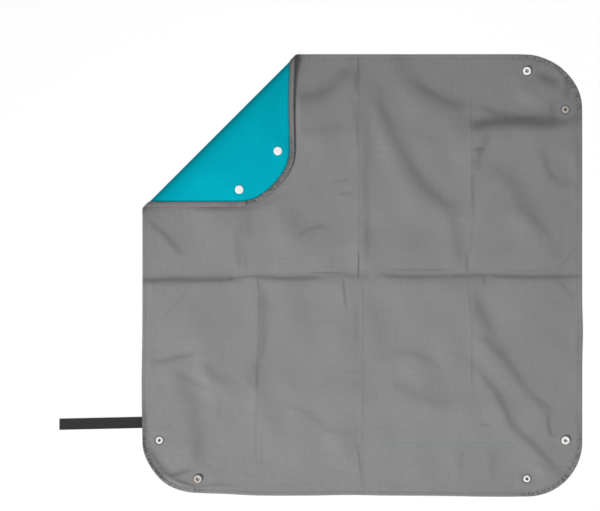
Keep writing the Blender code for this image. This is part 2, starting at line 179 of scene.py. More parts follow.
@dataclass(frozen=True)
class CoatedPolyester(Finish):
    """Plain-woven polyester, coated and calendered on both sides.

    It gives the eye a dull, even colour with the faint lines of thicker threads both ways, a little
    cloudiness, a soft sheen at a low angle, and painted shade in its creases, puckers and hem and round its
    studs.
    """

    slub_strength: float = 0.3
    cloud_strength: float = 0.12
    # How much the painted shade of creases, the fold and the hem darkens the colour
    painted_shade_strength: float = 0.45
    roughness: float = 0.6
    gloss: float = 0.35
    sheen: float = 0.08
    # Thread pitch is about 0.45 mm; the weave is drawn twice as coarse, so that it shows at all
    weave_pitch: float = 0.9 * MM
    weave_depth: float = 0.12 * MM
    # A slub is a thicker stretch of thread, a few centimetres long
    slub_width: float = 1.6 * MM
    slub_length: float = 45 * MM
    cloud_size: float = 70 * MM
    # The seam gathers the hem in small radial puckers, one or two stitches wide
    pucker_width: float = 3.4 * MM
    pucker_length: float = 9 * MM
    pucker_depth: float = 0.6 * MM
    pucker_shade: float = 0.5
    crinkle_size: float = 16 * MM
    crinkle_depth: float = 0.5 * MM
    # A ring of painted shadow lies round each press stud, where it meets the fabric
    ring_inner: float = 7.2 * MM
    ring_outer: float = 11.5 * MM
    painted_ring_shade: float = 0.38

    def surface(self, add: Adder) -> Socket:
        """Adds the nodes of the surface: its patterns, then how bright, high and dull they make it.

        Args:
            add: adds a node to the material.

        Returns:
            The shader's output.
        """
        place = add("Attribute", "Vector", {}, attribute_name="flat_place")
        painted_shade = add("Attribute", "Fac", {}, attribute_name="painted_shade_map")
        slubs = self.slubs(add, place)
        puckers = self.puckers(add)
        noise = {"Vector": place, "Scale": 1 / self.cloud_size, "Detail": 4.0, "Roughness": 0.55}
        clouds = add("TexNoise", "Fac", noise)
        noise = {"Scale": 1 / self.crinkle_size, "Detail": 3.0, "Roughness": 0.5, "Distortion": 0.6}
        crinkles = add("TexNoise", "Fac", {"Vector": place, **noise})
        threads = add("Math", 0, {0: slubs, 1: 0.6, 2: self.weave(add, place)}, operation="MULTIPLY_ADD")
        brightness = 1 - self.slub_strength - self.cloud_strength / 2
        # Painted shade darkens the colour in creases, along the fold and hem, and in the puckers' hollows
        for pattern, strength in (
            (slubs, self.slub_strength),
            (clouds, self.cloud_strength),
            (painted_shade, -self.painted_shade_strength),
            (puckers, -self.pucker_shade),
        ):
            brightness = add("Math", 0, {0: pattern, 1: strength, 2: brightness}, operation="MULTIPLY_ADD")
        # Painted shadow in a ring round each press stud
        brightness = add("Math", 0, {0: brightness, 1: self.rings(add)}, operation="MULTIPLY")
        normal = {}
        for height, strength, depth in (
            (crinkles, 1.0, self.crinkle_depth),
            (puckers, 0.5, -self.pucker_depth),
            (threads, 0.25, self.weave_depth),
        ):
            bump = {"Height": height, "Strength": strength, "Distance": depth, **normal}
            normal = {"Normal": add("Bump", "Normal", bump)}
        roughness = add("Math", 0, {0: clouds, 1: 0.12, 2: self.roughness - 0.06}, operation="MULTIPLY_ADD")
        inputs = {
            "Base Color": self.shaded(add, brightness),
            "Roughness": roughness,
            "IOR": 1.48,
            "Specular IOR Level": self.gloss,
            "Sheen Weight": self.sheen,
            "Sheen Roughness": 0.45,
            **normal,
        }
        return add("BsdfPrincipled", 0, inputs)

    def slubs(self, add: Adder, place: Socket) -> Socket:
        """Draws the thicker threads that run both ways.

        Args:
            add: adds a node to the material.
            place: the place on the flat fabric.

        Returns:
            The two patterns added up, about 1.
        """
        both = []
        for size in ((self.slub_length, self.slub_width, 1.0), (self.slub_width, self.slub_length, 1.0)):
            scale = tuple(1 / length for length in size)
            stretched = add("Mapping", "Vector", {"Vector": place, "Scale": scale})
            noise = {"Vector": stretched, "Scale": 1.0, "Detail": 3.0, "Roughness": 0.6}
            both.append(add("TexNoise", "Fac", noise))
        return add("Math", 0, {0: both[0], 1: both[1]}, operation="ADD")

    def rings(self, add: Adder) -> Socket:
        """Paints the dark rings of shadow round the press studs.

        Args:
            add: adds a node to the material.

        Returns:
            How bright each place is, 1 away from the rings.
        """
        limits = {"From Min": self.ring_inner, "From Max": self.ring_outer, "To Min": 1 - self.painted_ring_shade}
        from_fitting = add("Attribute", "Fac", {}, attribute_name="from_fitting")
        return add("MapRange", 0, {"Value": from_fitting, "To Max": 1.0, **limits})

    def puckers(self, add: Adder) -> Socket:
        """Draws the puckers of the hem, which lie across its seam.

        Args:
            add: adds a node to the material.

        Returns:
            How deep in a pucker each place is, 0 to 1.
        """
        hem = add("Attribute", "Vector", {}, attribute_name="hem_place")
        scale = (1 / self.pucker_width, 1 / self.pucker_length, 0.0)
        stretched = add("Mapping", "Vector", {"Vector": hem, "Scale": scale})
        ripples = add("TexNoise", "Fac", {"Vector": stretched, "Scale": 1.0, "Detail": 2.0, "Roughness": 0.6})
        depth = add("MapRange", 0, {"Value": ripples, "From Min": 0.38, "From Max": 0.66})
        strength = add("SeparateXYZ", "Z", {0: hem})
        return add("Math", 0, {0: depth, 1: strength}, operation="MULTIPLY")

    def weave(self, add: Adder, place: Socket) -> Socket:
        """Draws the over and under of a plain weave.

        Args:
            add: adds a node to the material.
            place: the place on the flat fabric.

        Returns:
            The weave's height.
        """
        inputs = {"Vector": place, "Scale": WAVE_BAND / self.weave_pitch}
        inputs |= {"Distortion": 0.4, "Detail": 1.0, "Detail Scale": 0.2}
        waves = [add("TexWave", "Fac", inputs, bands_direction=direction) for direction in ("X", "Y")]
        return add("Math", 0, {0: waves[0], 1: waves[1]}, operation="MULTIPLY")


@dataclass(frozen=True)
class SewingThread(Finish):
    """Spun polyester sewing thread: twisted, so it shows a fine slanted grain and a soft gloss."""

    # Drawn a little coarser than the real twist, so that it shows
    twist_pitch: float = 0.8 * MM
    twist_angle: float = math.radians(35)
    twist_depth: float = 0.1 * MM

    def surface(self, add: Adder) -> Socket:
        """Adds the nodes of the surface: waves across the slant of the twist.

        Args:
            add: adds a node to the material.

        Returns:
            The shader's output.
        """
        place = add("TexCoord", "Object", {})
        slant = add("Mapping", "Vector", {"Vector": place, "Rotation": (0.0, 0.0, self.twist_angle)})
        scale = WAVE_BAND / self.twist_pitch
        twist = add("TexWave", "Fac", {"Vector": slant, "Scale": scale, "Distortion": 1.0, "Detail": 1.0})
        brightness = add("Math", 0, {0: twist, 1: 0.2, 2: 0.9}, operation="MULTIPLY_ADD")
        bump = add("Bump", "Normal", {"Height": twist, "Strength": 0.4, "Distance": self.twist_depth})
        base = self.shaded(add, brightness)
        return add("BsdfPrincipled", 0, {"Base Color": base, "Roughness": 0.5, "Normal": bump})


@dataclass(frozen=True)
class WovenElastic(Finish):
    """Woven rubber elastic: matte black yarn over rubber cords, ribbed along and finely ridged across."""

    ridge_pitch: float = 1.4 * MM
    cord_pitch: float = 2.5 * MM
    rib_depth: float = 0.25 * MM
    fluff_per_metre: float = 900.0

    def surface(self, add: Adder) -> Socket:
        """Adds the nodes of the surface: cords along, ridges of yarn across, and fluff on both.

        Args:
            add: adds a node to the material.

        Returns:
            The shader's output.
        """
        place = add("Attribute", "Vector", {}, attribute_name="flat_place")
        ridges, cords = [
            add(
                "TexWave",
                "Fac",
                {"Vector": place, "Scale": WAVE_BAND / pitch, "Distortion": 0.6, "Detail": 2.0},
                bands_direction=direction,
            )
            for direction, pitch in (("X", self.ridge_pitch), ("Y", self.cord_pitch))
        ]
        noise = {"Vector": place, "Scale": self.fluff_per_metre, "Detail": 4.0, "Roughness": 0.7}
        fluff = add("TexNoise", "Fac", noise)
        height = add("Math", 0, {0: ridges, 1: 0.5, 2: cords}, operation="MULTIPLY_ADD")
        height = add("Math", 0, {0: fluff, 1: 0.5, 2: height}, operation="MULTIPLY_ADD")
        brightness = add("Math", 0, {0: height, 1: 0.3, 2: 0.72}, operation="MULTIPLY_ADD")
        inputs = {
            "Base Color": self.shaded(add, brightness),
            "Roughness": 0.85,
            "Normal": add("Bump", "Normal", {"Height": height, "Strength": 0.6, "Distance": self.rib_depth}),
            "Specular IOR Level": 0.25,
            "Sheen Weight": 0.1,
            "Sheen Roughness": 0.5,
        }
        return add("BsdfPrincipled", 0, inputs)


def shade_in_hollows(add: Adder, colour: Socket, reach: float, strength: float) -> Socket:
    """Darkens a colour with painted shade in narrow hollows, such as a socket or a post's bore.

    Args:
        add: adds a node to the material.
        colour: the colour without its shade.
        reach: how far the hollow's other side may be.
        strength: the most painted shade, 0 to 1.

    Returns:
        The colour with the painted shade.
    """
    openness = add("AmbientOcclusion", "AO", {"Distance": reach}, samples=8, only_local=True)
    limits = {"From Min": 0.25, "From Max": 0.85, "To Min": strength, "To Max": 0.0}
    hollow_shade = add("MapRange", 0, {"Value": openness, **limits})
    return add("Mix", 2, {"Factor": hollow_shade, 6: colour, 7: linear(PAINTED_HOLLOW_SHADE)}, data_type="RGBA")


@dataclass(frozen=True)
class PlatedMetal(Finish):
    """Brass or steel, turned or drawn and plated.

    It mirrors the room, with fine scratches, dull spots, and painted shade in its hollows.
    """

    roughness: float
    tarnish: str
    tarnish_strength: float = 0.25
    spot_size: float = 2.5 * MM
    scratch_size: float = 0.5 * MM
    scratch_depth: float = 0.05 * MM
    hollow_reach: float = 2.5 * MM
    hollow_strength: float = 0.7

    def surface(self, add: Adder) -> Socket:
        """Adds the nodes of the surface: spots of tarnish, grime, and scratches in its gloss.

        Args:
            add: adds a node to the material.

        Returns:
            The shader's output.
        """
        place = add("TexCoord", "Object", {})
        spots = add("TexNoise", "Fac", {"Vector": place, "Scale": 1 / self.spot_size, "Detail": 3.0})
        scratches = add("TexNoise", "Fac", {"Vector": place, "Scale": 1 / self.scratch_size, "Detail": 5.0})
        limits = {"From Min": 0.45, "From Max": 0.75, "To Min": 0.0, "To Max": self.tarnish_strength}
        stain = add("MapRange", 0, {"Value": spots, **limits})
        colours = {6: linear(self.colour), 7: linear(self.tarnish)}
        stained = add("Mix", 2, {"Factor": stain, **colours}, data_type="RGBA")
        gloss = {0: scratches, 1: 0.15, 2: self.roughness - 0.07}
        bump = {"Height": scratches, "Strength": 0.08, "Distance": self.scratch_depth}
        inputs = {
            "Base Color": shade_in_hollows(add, stained, self.hollow_reach, self.hollow_strength),
            "Metallic": 1.0,
            "Roughness": add("Math", 0, gloss, operation="MULTIPLY_ADD"),
            "Normal": add("Bump", "Normal", bump),
        }
        return add("BsdfPrincipled", 0, inputs)


@dataclass(frozen=True)
class StovedEnamel(Finish):
    """White enamel stoved on a pressed brass cap: clean white, smooth and glossy, with a faint orange peel.

    The post through the fabric is bare brass, rolled over and dull, with painted shade in its bore; on the
    stud caps the whole post is coloured near black, as painted shade.
    """

    post_colour: str
    hollow_strength: float
    turned_over: bool = False
    peel_size: float = 0.8 * MM
    peel_depth: float = 0.05 * MM
    hollow_reach: float = 3.0 * MM

    def surface(self, add: Adder) -> Socket:
        """Adds the nodes of the surface: enamel on the cap, and bare metal on its post.

        Args:
            add: adds a node to the material.

        Returns:
            The shader's output.
        """
        place = add("TexCoord", "Object", {})
        # The post's end is the top of its solid, or the bottom where the corner is turned over
        post_from, post_to = (0.4, 0.35) if self.turned_over else (0.6, 0.65)
        height = add("SeparateXYZ", "Z", {0: add("TexCoord", "Generated", {})})
        on_post = add("MapRange", 0, {"Value": height, "From Min": post_from, "From Max": post_to})
        peel = add("TexNoise", "Fac", {"Vector": place, "Scale": 1 / self.peel_size, "Detail": 2.0})
        brightness = add("Math", 0, {0: peel, 1: 0.04, 2: 0.98}, operation="MULTIPLY_ADD")
        colours = {6: self.shaded(add, brightness), 7: linear(self.post_colour)}
        clean = add("Mix", 2, {"Factor": on_post, **colours}, data_type="RGBA")
        inputs = {
            "Base Color": shade_in_hollows(add, clean, self.hollow_reach, self.hollow_strength),
            "Roughness": 0.28,
            "Normal": add("Bump", "Normal", {"Height": peel, "Strength": 0.1, "Distance": self.peel_depth}),
            "Coat Weight": 0.5,
            "Coat Roughness": 0.1,
        }
        return add("BsdfPrincipled", 0, inputs)


def seen(add: Adder) -> Socket:
    """Tells what the camera, a mirror or glass looks at from what lights a surface.

    Args:
        add: adds a node to the material or the world.

    Returns:
        1 for a look, 0 for light.
    """
    looks = [add("LightPath", f"Is {kind} Ray", {}) for kind in ("Camera", "Glossy", "Transmission")]
    either = add("Math", 0, {0: looks[0], 1: looks[1]}, operation="MAXIMUM")
    return add("Math", 0, {0: either, 1: looks[2]}, operation="MAXIMUM")


@dataclass(frozen=True)
class PaperBackdrop(Finish):
    """White backdrop paper, matte. It shows white by itself, and shadows dim only a part of it."""

    glow: float = 0.85
    glow_level: float = 1.04

    def surface(self, add: Adder) -> Socket:
        """Adds the nodes of the surface: paper, and a white glow where it is looked at.

        Args:
            add: adds a node to the material.

        Returns:
            The shader's output.
        """
        paper = add("BsdfDiffuse", 0, {"Color": linear(self.colour)})
        glow = add("Emission", 0, {"Color": WHITE, "Strength": self.glow_level})
        share = add("Math", 0, {0: seen(add), 1: self.glow}, operation="MULTIPLY")
        return add("MixShader", 0, {0: share, 1: paper, 2: glow})


@dataclass(frozen=True)
class Finishes:
    """Every material of the mat."""

    face: Material
    turned_hem: Material
    back: Material
    face_thread: Material
    pocket_thread: Material
    elastic: Material
    # The press studs' materials, by how the names of their nodes start; of two that fit the later counts
    press_studs: dict[str, Material]

    @classmethod
    def make(cls) -> "Finishes":
        """Builds them all.

        Returns:
            The materials.
        """
        nickel = PlatedMetal("nickel_plated_brass", "#F1F0ED", 0.3, "#8E8578").build()
        # Two of the press-stud halves are dull in the photograph; their copy of the nickel is darker as well as
        # rougher
        dull = PlatedMetal("dull_nickel_plated_brass", "#B7AFA6", 0.45, "#736B61", 0.5).build()
        # The studs' cap posts are near black, with strong shade in their bores: painted shade for a deep bore
        enamel, stud_post, socket_post = "#F6F5F4", ("#4A4641", 0.95), ("#D8D5D0", 0.3)
        return cls(
            face=CoatedPolyester("grey_coated_polyester", "#818181").build(),
            # The turned hem is the same fabric as the face; this copy is a little darker, as painted shade
            turned_hem=CoatedPolyester("grey_coated_polyester_turned_hem", "#7F7E7D").build(),
            back=CoatedPolyester(
                "teal_coated_polyester",
                "#00ADC0",
                slub_strength=0.03,
                cloud_strength=0.02,
                painted_shade_strength=0.6,
                roughness=0.65,
                gloss=0.02,
                sheen=0.0,
                crinkle_depth=0.3 * MM,
                painted_ring_shade=0.12,
            ).build(),
            face_thread=SewingThread("grey_polyester_thread", "#74726F").build(),
            pocket_thread=SewingThread("teal_polyester_thread", "#2F979F").build(),
            elastic=WovenElastic("woven_black_elastic", "#2A2A2B").build(),
            press_studs={
                "stud_": nickel,
                "socket_": nickel,
                "stud_upper_right": dull,
                "socket_lower_left": dull,
                "spring_": PlatedMetal("drawn_spring_steel", "#B5AFA6", 0.32, "#7A6A58").build(),
                "cap_stud": StovedEnamel("white_enamel_stud_cap", enamel, *stud_post).build(),
                "cap_socket": StovedEnamel("white_enamel_socket_cap", enamel, *socket_post).build(),
                "cap_stud_upper_left": StovedEnamel(
                    "white_enamel_turned_stud_cap", enamel, *stud_post, turned_over=True
                ).build(),
                "cap_socket_upper_left": StovedEnamel(
                    "white_enamel_turned_socket_cap", enamel, *socket_post, turned_over=True
                ).build(),
            },
        )


def add_attribute(mesh: Mesh, name: str, kind: str, values: Array, domain: str = "POINT") -> None:
    """Gives each point or face of a mesh a value.

    Args:
        mesh: the mesh.
        name: what the value is called.
        kind: its type in Blender.
        values: the values, in the order of the points or faces.
        domain: POINT or FACE.
    """
    key = "vector" if kind == "FLOAT_VECTOR" else "value"
    mesh.attributes.new(name, kind, domain).data.foreach_set(key, np.ravel(values))


def quads(grid: Array, turned: bool) -> Array:
    """Makes the faces between the lines of a grid.

    Args:
        grid: the numbers of the points, by line and by row.
        turned: whether the faces look the other way.

    Returns:
        The corners of each face, one face a row.
    """
    corners = [grid[:-1, :-1], grid[1:, :-1], grid[1:, 1:], grid[:-1, 1:]]
    return np.stack([corner.ravel() for corner in (corners[::-1] if turned else corners)], axis=1)


def smooth_object(name: str, places: Array, faces: list[list[int]], material: Material) -> Object:
    """Makes a smooth mesh object.

    Args:
        name: its name.
        places: its points, one a row.
        faces: its faces.
        material: its material.

    Returns:
        The object, which is in the scene.
    """
    mesh = bpy.data.meshes.new(name)
    mesh.from_pydata(places.tolist(), [], faces)
    mesh.polygons.foreach_set("use_smooth", np.ones(len(faces), bool))
    mesh.materials.append(material)
    return placed(bpy.data.objects.new(name, mesh))


def placed(obj: Object) -> Object:
    """Puts an object in the scene, and returns it."""
    bpy.context.scene.collection.objects.link(obj)
    return obj


def read(data: object, key: str, width: int = 1, kind: type = float) -> Array:
    """Reads a value of every point, face or corner of a mesh.

    Args:
        data: the points, faces or corners.
        key: the value's name.
        width: how many numbers the value has.
        kind: what the numbers are.

    Returns:
        The values, one a row.
    """
    values = np.empty(len(data) * width, kind)
    data.foreach_get(key, values)
    return values if width == 1 else values.reshape(-1, width)


def tube_faces(rings: int, sides: int) -> list[list[int]]:
    """Makes the faces of a closed tube.

    Args:
        rings: how many rings of points it has.
        sides: how many points a ring has.

    Returns:
        The points of each face.
    """
    faces = []
    for low in range(0, (rings - 1) * sides, sides):
        for side in range(sides):
            after = (side + 1) % sides
            faces.append([low + side, low + after, low + sides + after, low + sides + side])
    last = (rings - 1) * sides
    return [*faces, list(range(sides))[::-1], list(range(last, last + sides))]


@dataclass(frozen=True)
class MatSizes:
    """The mat's sizes, as the part has them, and its edges."""

    left: float
    right: float
    bottom: float
    top: float
    corner_radius: float = 98 * MM
    thickness: float = 0.6 * MM
    sheet_top: float = 2.1 * MM
    hem_width: float = 9 * MM
    seam_from_edge: float = 7.5 * MM
    stitch_pitch: float = 4.3 * MM
    fold_leg: float = 286 * MM
    stud_from_edge: float = 31 * MM
    stud_from_corner: float = 101 * MM
    strap_below_centre: float = 268 * MM
    strap_width: float = 20.5 * MM
    pocket_width: float = 248 * MM
    pocket_depth: float = 88 * MM
    # Where the strip between the halves begins and ends to bend, from the mat's middle
    centre_bend: tuple[float, float] = (2.5 * MM, 14.5 * MM)
    # The turned corner's bends: places beyond the first one, and heights
    fold_levels: tuple[float, float] = (2.6 * MM, 8.0 * MM)
    flap_bend: tuple[float, float] = (0.3 * MM, -6.5 * MM)
    flap_level: float = 9 * MM
    corner_steps = 32

    @classmethod
    def of_part(cls) -> "MatSizes":
        """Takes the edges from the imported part."""
        low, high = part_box("mat_lower")
        return cls(left=low.x, right=high.x, bottom=low.y, top=-low.y)

    @property
    def middle(self) -> tuple[float, float]:
        """The middle of the flat mat."""
        return (self.left + self.right) / 2, (self.bottom + self.top) / 2

    @property
    def half(self) -> tuple[float, float]:
        """Half the mat's width and half its length."""
        return (self.right - self.left) / 2, (self.top - self.bottom) / 2

    def from_photo(self, x: float | Array, y: float | Array) -> tuple[float | Array, float | Array]:
        """Where pixels of the photograph, which looks straight down, are on the flat mat."""
        middle_x, middle_y = self.middle
        return middle_x + (x - PHOTO_MIDDLE[0]) * PHOTO_PIXEL, middle_y + (PHOTO_MIDDLE[1] - y) * PHOTO_PIXEL

    @property
    def fittings(self) -> list[tuple[float, float]]:
        """Places of the eight press-stud halves on the flat mat.

        Returns:
            The places, two at each corner.
        """
        near, far = self.stud_from_edge, self.stud_from_corner
        return [
            (edge_x + inward_x * aside, edge_y + inward_y * up)
            for edge_x, inward_x in ((self.left, 1), (self.right, -1))
            for edge_y, inward_y in ((self.bottom, 1), (self.top, -1))
            for aside, up in ((near, far), (far, near))
        ]

    def edge_place(self, x: Array, y: Array) -> tuple[Array, Array]:
        """Finds places in the edge's own terms.

        Args:
            x, y: places on the flat mat.

        Returns:
            The distance in from the edge, and the run along it, which starts anew in each quarter.
        """
        half_x, half_y = self.half
        radius = self.corner_radius
        from_x, from_y = np.abs(x - self.middle[0]), np.abs(y - self.middle[1])
        past_x, past_y = from_x - (half_x - radius), from_y - (half_y - radius)
        in_corner = (past_x > 0) & (past_y > 0)
        turn = np.arctan2(np.maximum(past_y, 0), np.maximum(past_x, 1e-9))
        at_side = half_x - from_x < half_y - from_y
        straight = np.minimum(half_x - from_x, half_y - from_y)
        inward = np.where(in_corner, radius - np.hypot(past_x, past_y), straight)
        corner_start = half_y - radius
        corner_end = corner_start + radius * math.pi / 2
        along = np.where(at_side, from_y, corner_end + half_x - radius - from_x)
        along = np.where(in_corner, corner_start + turn * radius, along)
        # A run of its own for each quarter, so that no two corners ripple alike
        quarter = np.where(x > self.middle[0], 1.0, 2.3) * np.where(y > self.middle[1], 1.0, 3.1)
        return inward, along + quarter

    def outline(self, inward: float, pitch: float) -> list[tuple[float, float]]:
        """Points along a line that keeps a distance in from the mat's edge.

        Args:
            inward: the distance in from the edge.
            pitch: about how far the points are apart.

        Returns:
            The points, anticlockwise from the right side's upper end, evenly spaced and closed.
        """
        half_x, half_y = self.half
        middle_x, middle_y = self.middle
        radius = self.corner_radius
        reach = radius - inward
        line = []
        for quarter, (sign_x, sign_y) in enumerate(((1, 1), (-1, 1), (-1, -1), (1, -1))):
            centre_x = middle_x + sign_x * (half_x - radius)
            centre_y = middle_y + sign_y * (half_y - radius)
            for step in range(self.corner_steps + 1):
                turn = (quarter + step / self.corner_steps) * math.pi / 2
                line.append((centre_x + reach * math.cos(turn), centre_y + reach * math.sin(turn)))
        return evenly_spaced(np.array([*line, line[0]]), pitch)


def evenly_spaced(line: Array, pitch: float) -> list[tuple[float, float]]:
    """Spaces points evenly along a line.

    Args:
        line: the points that the line goes through.
        pitch: about how far the new points are apart.

    Returns:
        The new points, with both ends.
    """
    steps = np.hypot(*np.diff(line, axis=0).T)
    run = np.concatenate([[0], np.cumsum(steps)])
    count = max(1, round(run[-1] / pitch))
    places = np.linspace(0, run[-1], count + 1)
    return list(zip(np.interp(places, run, line[:, 0]), np.interp(places, run, line[:, 1])))


class Fold(Enum):
    """The kinds of crease."""

    STEP = "falls away on the left of its path, and levels out slowly on both sides"
    PINCH = "a narrow valley"
    RIDGE = "a narrow ridge"


@dataclass(frozen=True)
class Crease:
    """A packing crease, wrinkle or pull, as a line on the mat that the photograph shows.

    Its path is in pixels of the photograph, x and y in turn. Its height and its width are in millimetres,
    and its painted shade is how much it darkens the fabric's colour along its line, 0 to 1. At its two
    ends it fades over a share of its length.
    """

    path: tuple[float, ...]
    height: float
    width: float
    painted_shade: float = 0.0
    fade: float = 0.3
    fold: Fold = Fold.STEP
    mound: float = 0.0
    pieces = 9
    # How sharply a valley or ridge rounds off, how sharply a step falls, and how far its mound reaches
    rounding = 1.5
    steepness = 1.5
    mound_reach = 0.5

    def strength(self, share: Array) -> Array:
        """How strong the crease is at a share of its length: 1, or less towards its ends."""
        return smooth(share, 0, self.fade) * smooth(1 - share, 0, self.fade)

    def heights(self, x: Array, y: Array, path: Array, aside: Array, share: Array) -> Array:
        """The heights that the crease gives the fabric.

        A step is one of a stiff sheet: its height is in proportion to the angle at which its line is
        seen from each place, so it falls sharply across the line and levels out slowly elsewhere. It
        stands on a low mound, which gives it room to fall.

        Args:
            x, y: places on the flat mat.
            path: the crease's line there, a point a row.
            aside: each place's distance from the line, positive on its left.
            share: how far along the line each place is, 0 to 1.

        Returns:
            The heights.
        """
        across = np.abs(aside) / (self.width * MM)
        if self.fold is not Fold.STEP:
            side = -1 if self.fold is Fold.PINCH else 1
            return side * self.height * MM * np.exp(-(across**self.rounding)) * self.strength(share)
        angle = np.zeros_like(x)
        count = len(path) - 1
        for i in range(count):
            from_x, from_y = path[i, 0] - x, path[i, 1] - y
            to_x, to_y = path[i + 1, 0] - x, path[i + 1, 1] - y
            turn = np.arctan2(from_x * to_y - from_y * to_x, from_x * to_x + from_y * to_y)
            angle -= turn * self.strength(np.array((i + 0.5) / count))
        length = np.hypot(*np.diff(path, axis=0).T).sum()
        mound = self.mound * bell(aside, self.mound_reach * length)
        return self.height * MM * (angle / (2 * math.pi) * np.tanh(self.steepness * across) + mound)


ACROSS_THE_MIDDLE = (
    Crease((138, 281, 152, 279.8, 170, 278.8, 205, 279.2, 236, 278.6), 5.7, 10.0, 0.5, 0.06),
    Crease((138, 281.5, 190, 281, 250, 280), 0.9, 18.0, 0.16, 0.1),
    Crease((256, 279.5, 300, 280, 345, 277), 1.7, 15.0, 0.13, 0.1),
    Crease((340, 274, 356, 277, 372, 276), 0.9, 12.0, 0.28, 0.2),
    Crease((366, 278, 450, 279, 588, 278), 1.8, 16.0, 0.12, 0.1),
    Crease((226, 279.2, 243, 277.2, 257, 275.6), 1.3, 3.9, 0.32, 0.15),
    Crease((160, 276, 228, 275.6), 0.3, 2.1, 0.14, 0.2),
    Crease((253, 276.2, 268, 277.4, 285, 278.4, 322, 277.6), 2.6, 7.1, 0.39, 0.1),
    Crease((314, 278, 333, 276.4, 347, 274.4), 0.4, 3.5, 0.12, 0.15),
    Crease((304, 273, 346, 272.6), 0.8, 2.1, 0.4, 0.2),
    Crease((344, 274.2, 351, 275.8, 359, 277.8), 0.2, 2.5, 0.09, 0.15),
    Crease((358, 275, 372, 273.9, 396, 273.4), 0.1, 2.1, 0.05, 0.2),
    Crease((380, 270.2, 416, 270, 456, 269.6), 0.6, 3.2, 0.21, 0.2),
    Crease((374, 275, 396, 276.4, 420, 277, 456, 276.2), 2.0, 6.7, 0.33, 0.2),
    Crease((450, 276.3, 470, 275.8, 490, 275.2), 2.1, 6.4, 0.36, 0.12),
    Crease((488, 275.4, 520, 277, 553, 276.8, 587, 276), 2.5, 6.7, 0.4, 0.06),
    Crease((490, 272.6, 520, 271, 556, 269.4), 0.4, 3.2, 0.14, 0.2),
)

DOWN_THE_MAT = (
    # The middle
    Crease((358.4, 50, 357.5, 150, 357.2, 220, 358.3, 279), 0.3, 2.3, 0.2, 0.05, Fold.RIDGE),
    Crease((362, 279, 361.5, 346, 361.5, 442, 364, 496), 0.3, 2.3, 0.2, 0.05, Fold.RIDGE),
    Crease((358.4, 50, 358, 76), 0.9, 3.4, 0.27),
    Crease((357, 68, 356, 96), 2.2, 8.5, 0.24),
    Crease((354.6, 106, 356.6, 124, 357.4, 146), 0.8, 3.4, 0.26),
    Crease((364, 100, 367, 140, 368, 182), 7.6, 22.0, mound=0.15),
    Crease((365, 166, 366.5, 200, 367.5, 240, 366, 270), 3.1, 11.0, 0.1, 0.12),
    Crease((358.4, 252, 358.2, 279), 1.3, 2.3, 0.51, 0.12),
    Crease((342.7, 275, 344, 292, 347, 312), 1.2, 3.4, 0.39),
    Crease((356, 300, 356.5, 350), 1.4, 9.6, 0.14),
    Crease((361.5, 346, 361.5, 442), 0.1, 2.6, 0.02),
    Crease((365.5, 346, 365.5, 442), 0.1, 2.6, 0.05),
    Crease((356.5, 438, 360, 462, 364, 496), 1.2, 4.3, 0.33),
    # The left quarter
    Crease((258, 279, 257, 358, 254.5, 458, 260, 496), 0.3, 2.3, 0.13, 0.05, Fold.RIDGE),
    Crease((241, 206, 242, 240, 243, 277), 1.9, 14.0, 0.14, 0.2),
    Crease((262, 282, 259, 330, 257, 400), 0.8, 14.0, 0.1, 0.2),
    Crease((248.5, 207, 249, 242), 1.3, 8.0, 0.17),
    Crease((236, 224, 237, 256, 241.5, 275), 1.6, 9.6, 0.19),
    Crease((247, 254, 243, 264, 247, 272), 1.0, 3.8, 0.0, 0.2, Fold.RIDGE),
    Crease((257.6, 274.5, 258.4, 291), 0.7, 2.6, 0.3),
    Crease((262, 284, 264, 320, 264, 345, 260, 368), 4.7, 15.0, fade=0.15),
    Crease((256, 358, 256.5, 400), 0.9, 4.7, 0.19),
    Crease((254.5, 396, 254, 458), 0.4, 3.0, 0.15),
    Crease((260.5, 424, 262, 474), 0.5, 4.4, 0.11),
    # The right quarter
    Crease((471, 54, 470.5, 150, 472, 218, 466, 275), 0.3, 2.3, 0.12, 0.05, Fold.RIDGE),
    Crease((452, 206, 455, 240, 463, 272), 3.5, 18.0, 0.16, 0.2),
    Crease((466, 276, 470, 320, 471.3, 392), 0.3, 2.3, 0.12, 0.05, Fold.RIDGE),
    Crease((470.5, 88, 470.5, 146), 0.3, 3.4, 0.09),
    Crease((470, 151, 478, 149.5, 486, 150), 1.9, 4.3, 0.44),
    Crease((471, 158, 479, 172), 1.1, 6.4, 0.25),
    Crease((473, 168, 472, 218), 1.2, 6.4, 0.18),
    Crease((459, 216, 461, 272), 0.7, 12.0, fade=0.25),
    Crease((466, 248, 467, 275), 1.0, 3.4, 0.31),
    Crease((474.5, 262, 475, 276), 0.3, 3.4, 0.09),
    Crease((484, 276, 483.5, 287), 1.0, 3.4, 0.27),
    Crease((471.3, 354, 471.3, 388), 0.4, 3.4, 0.11),
)

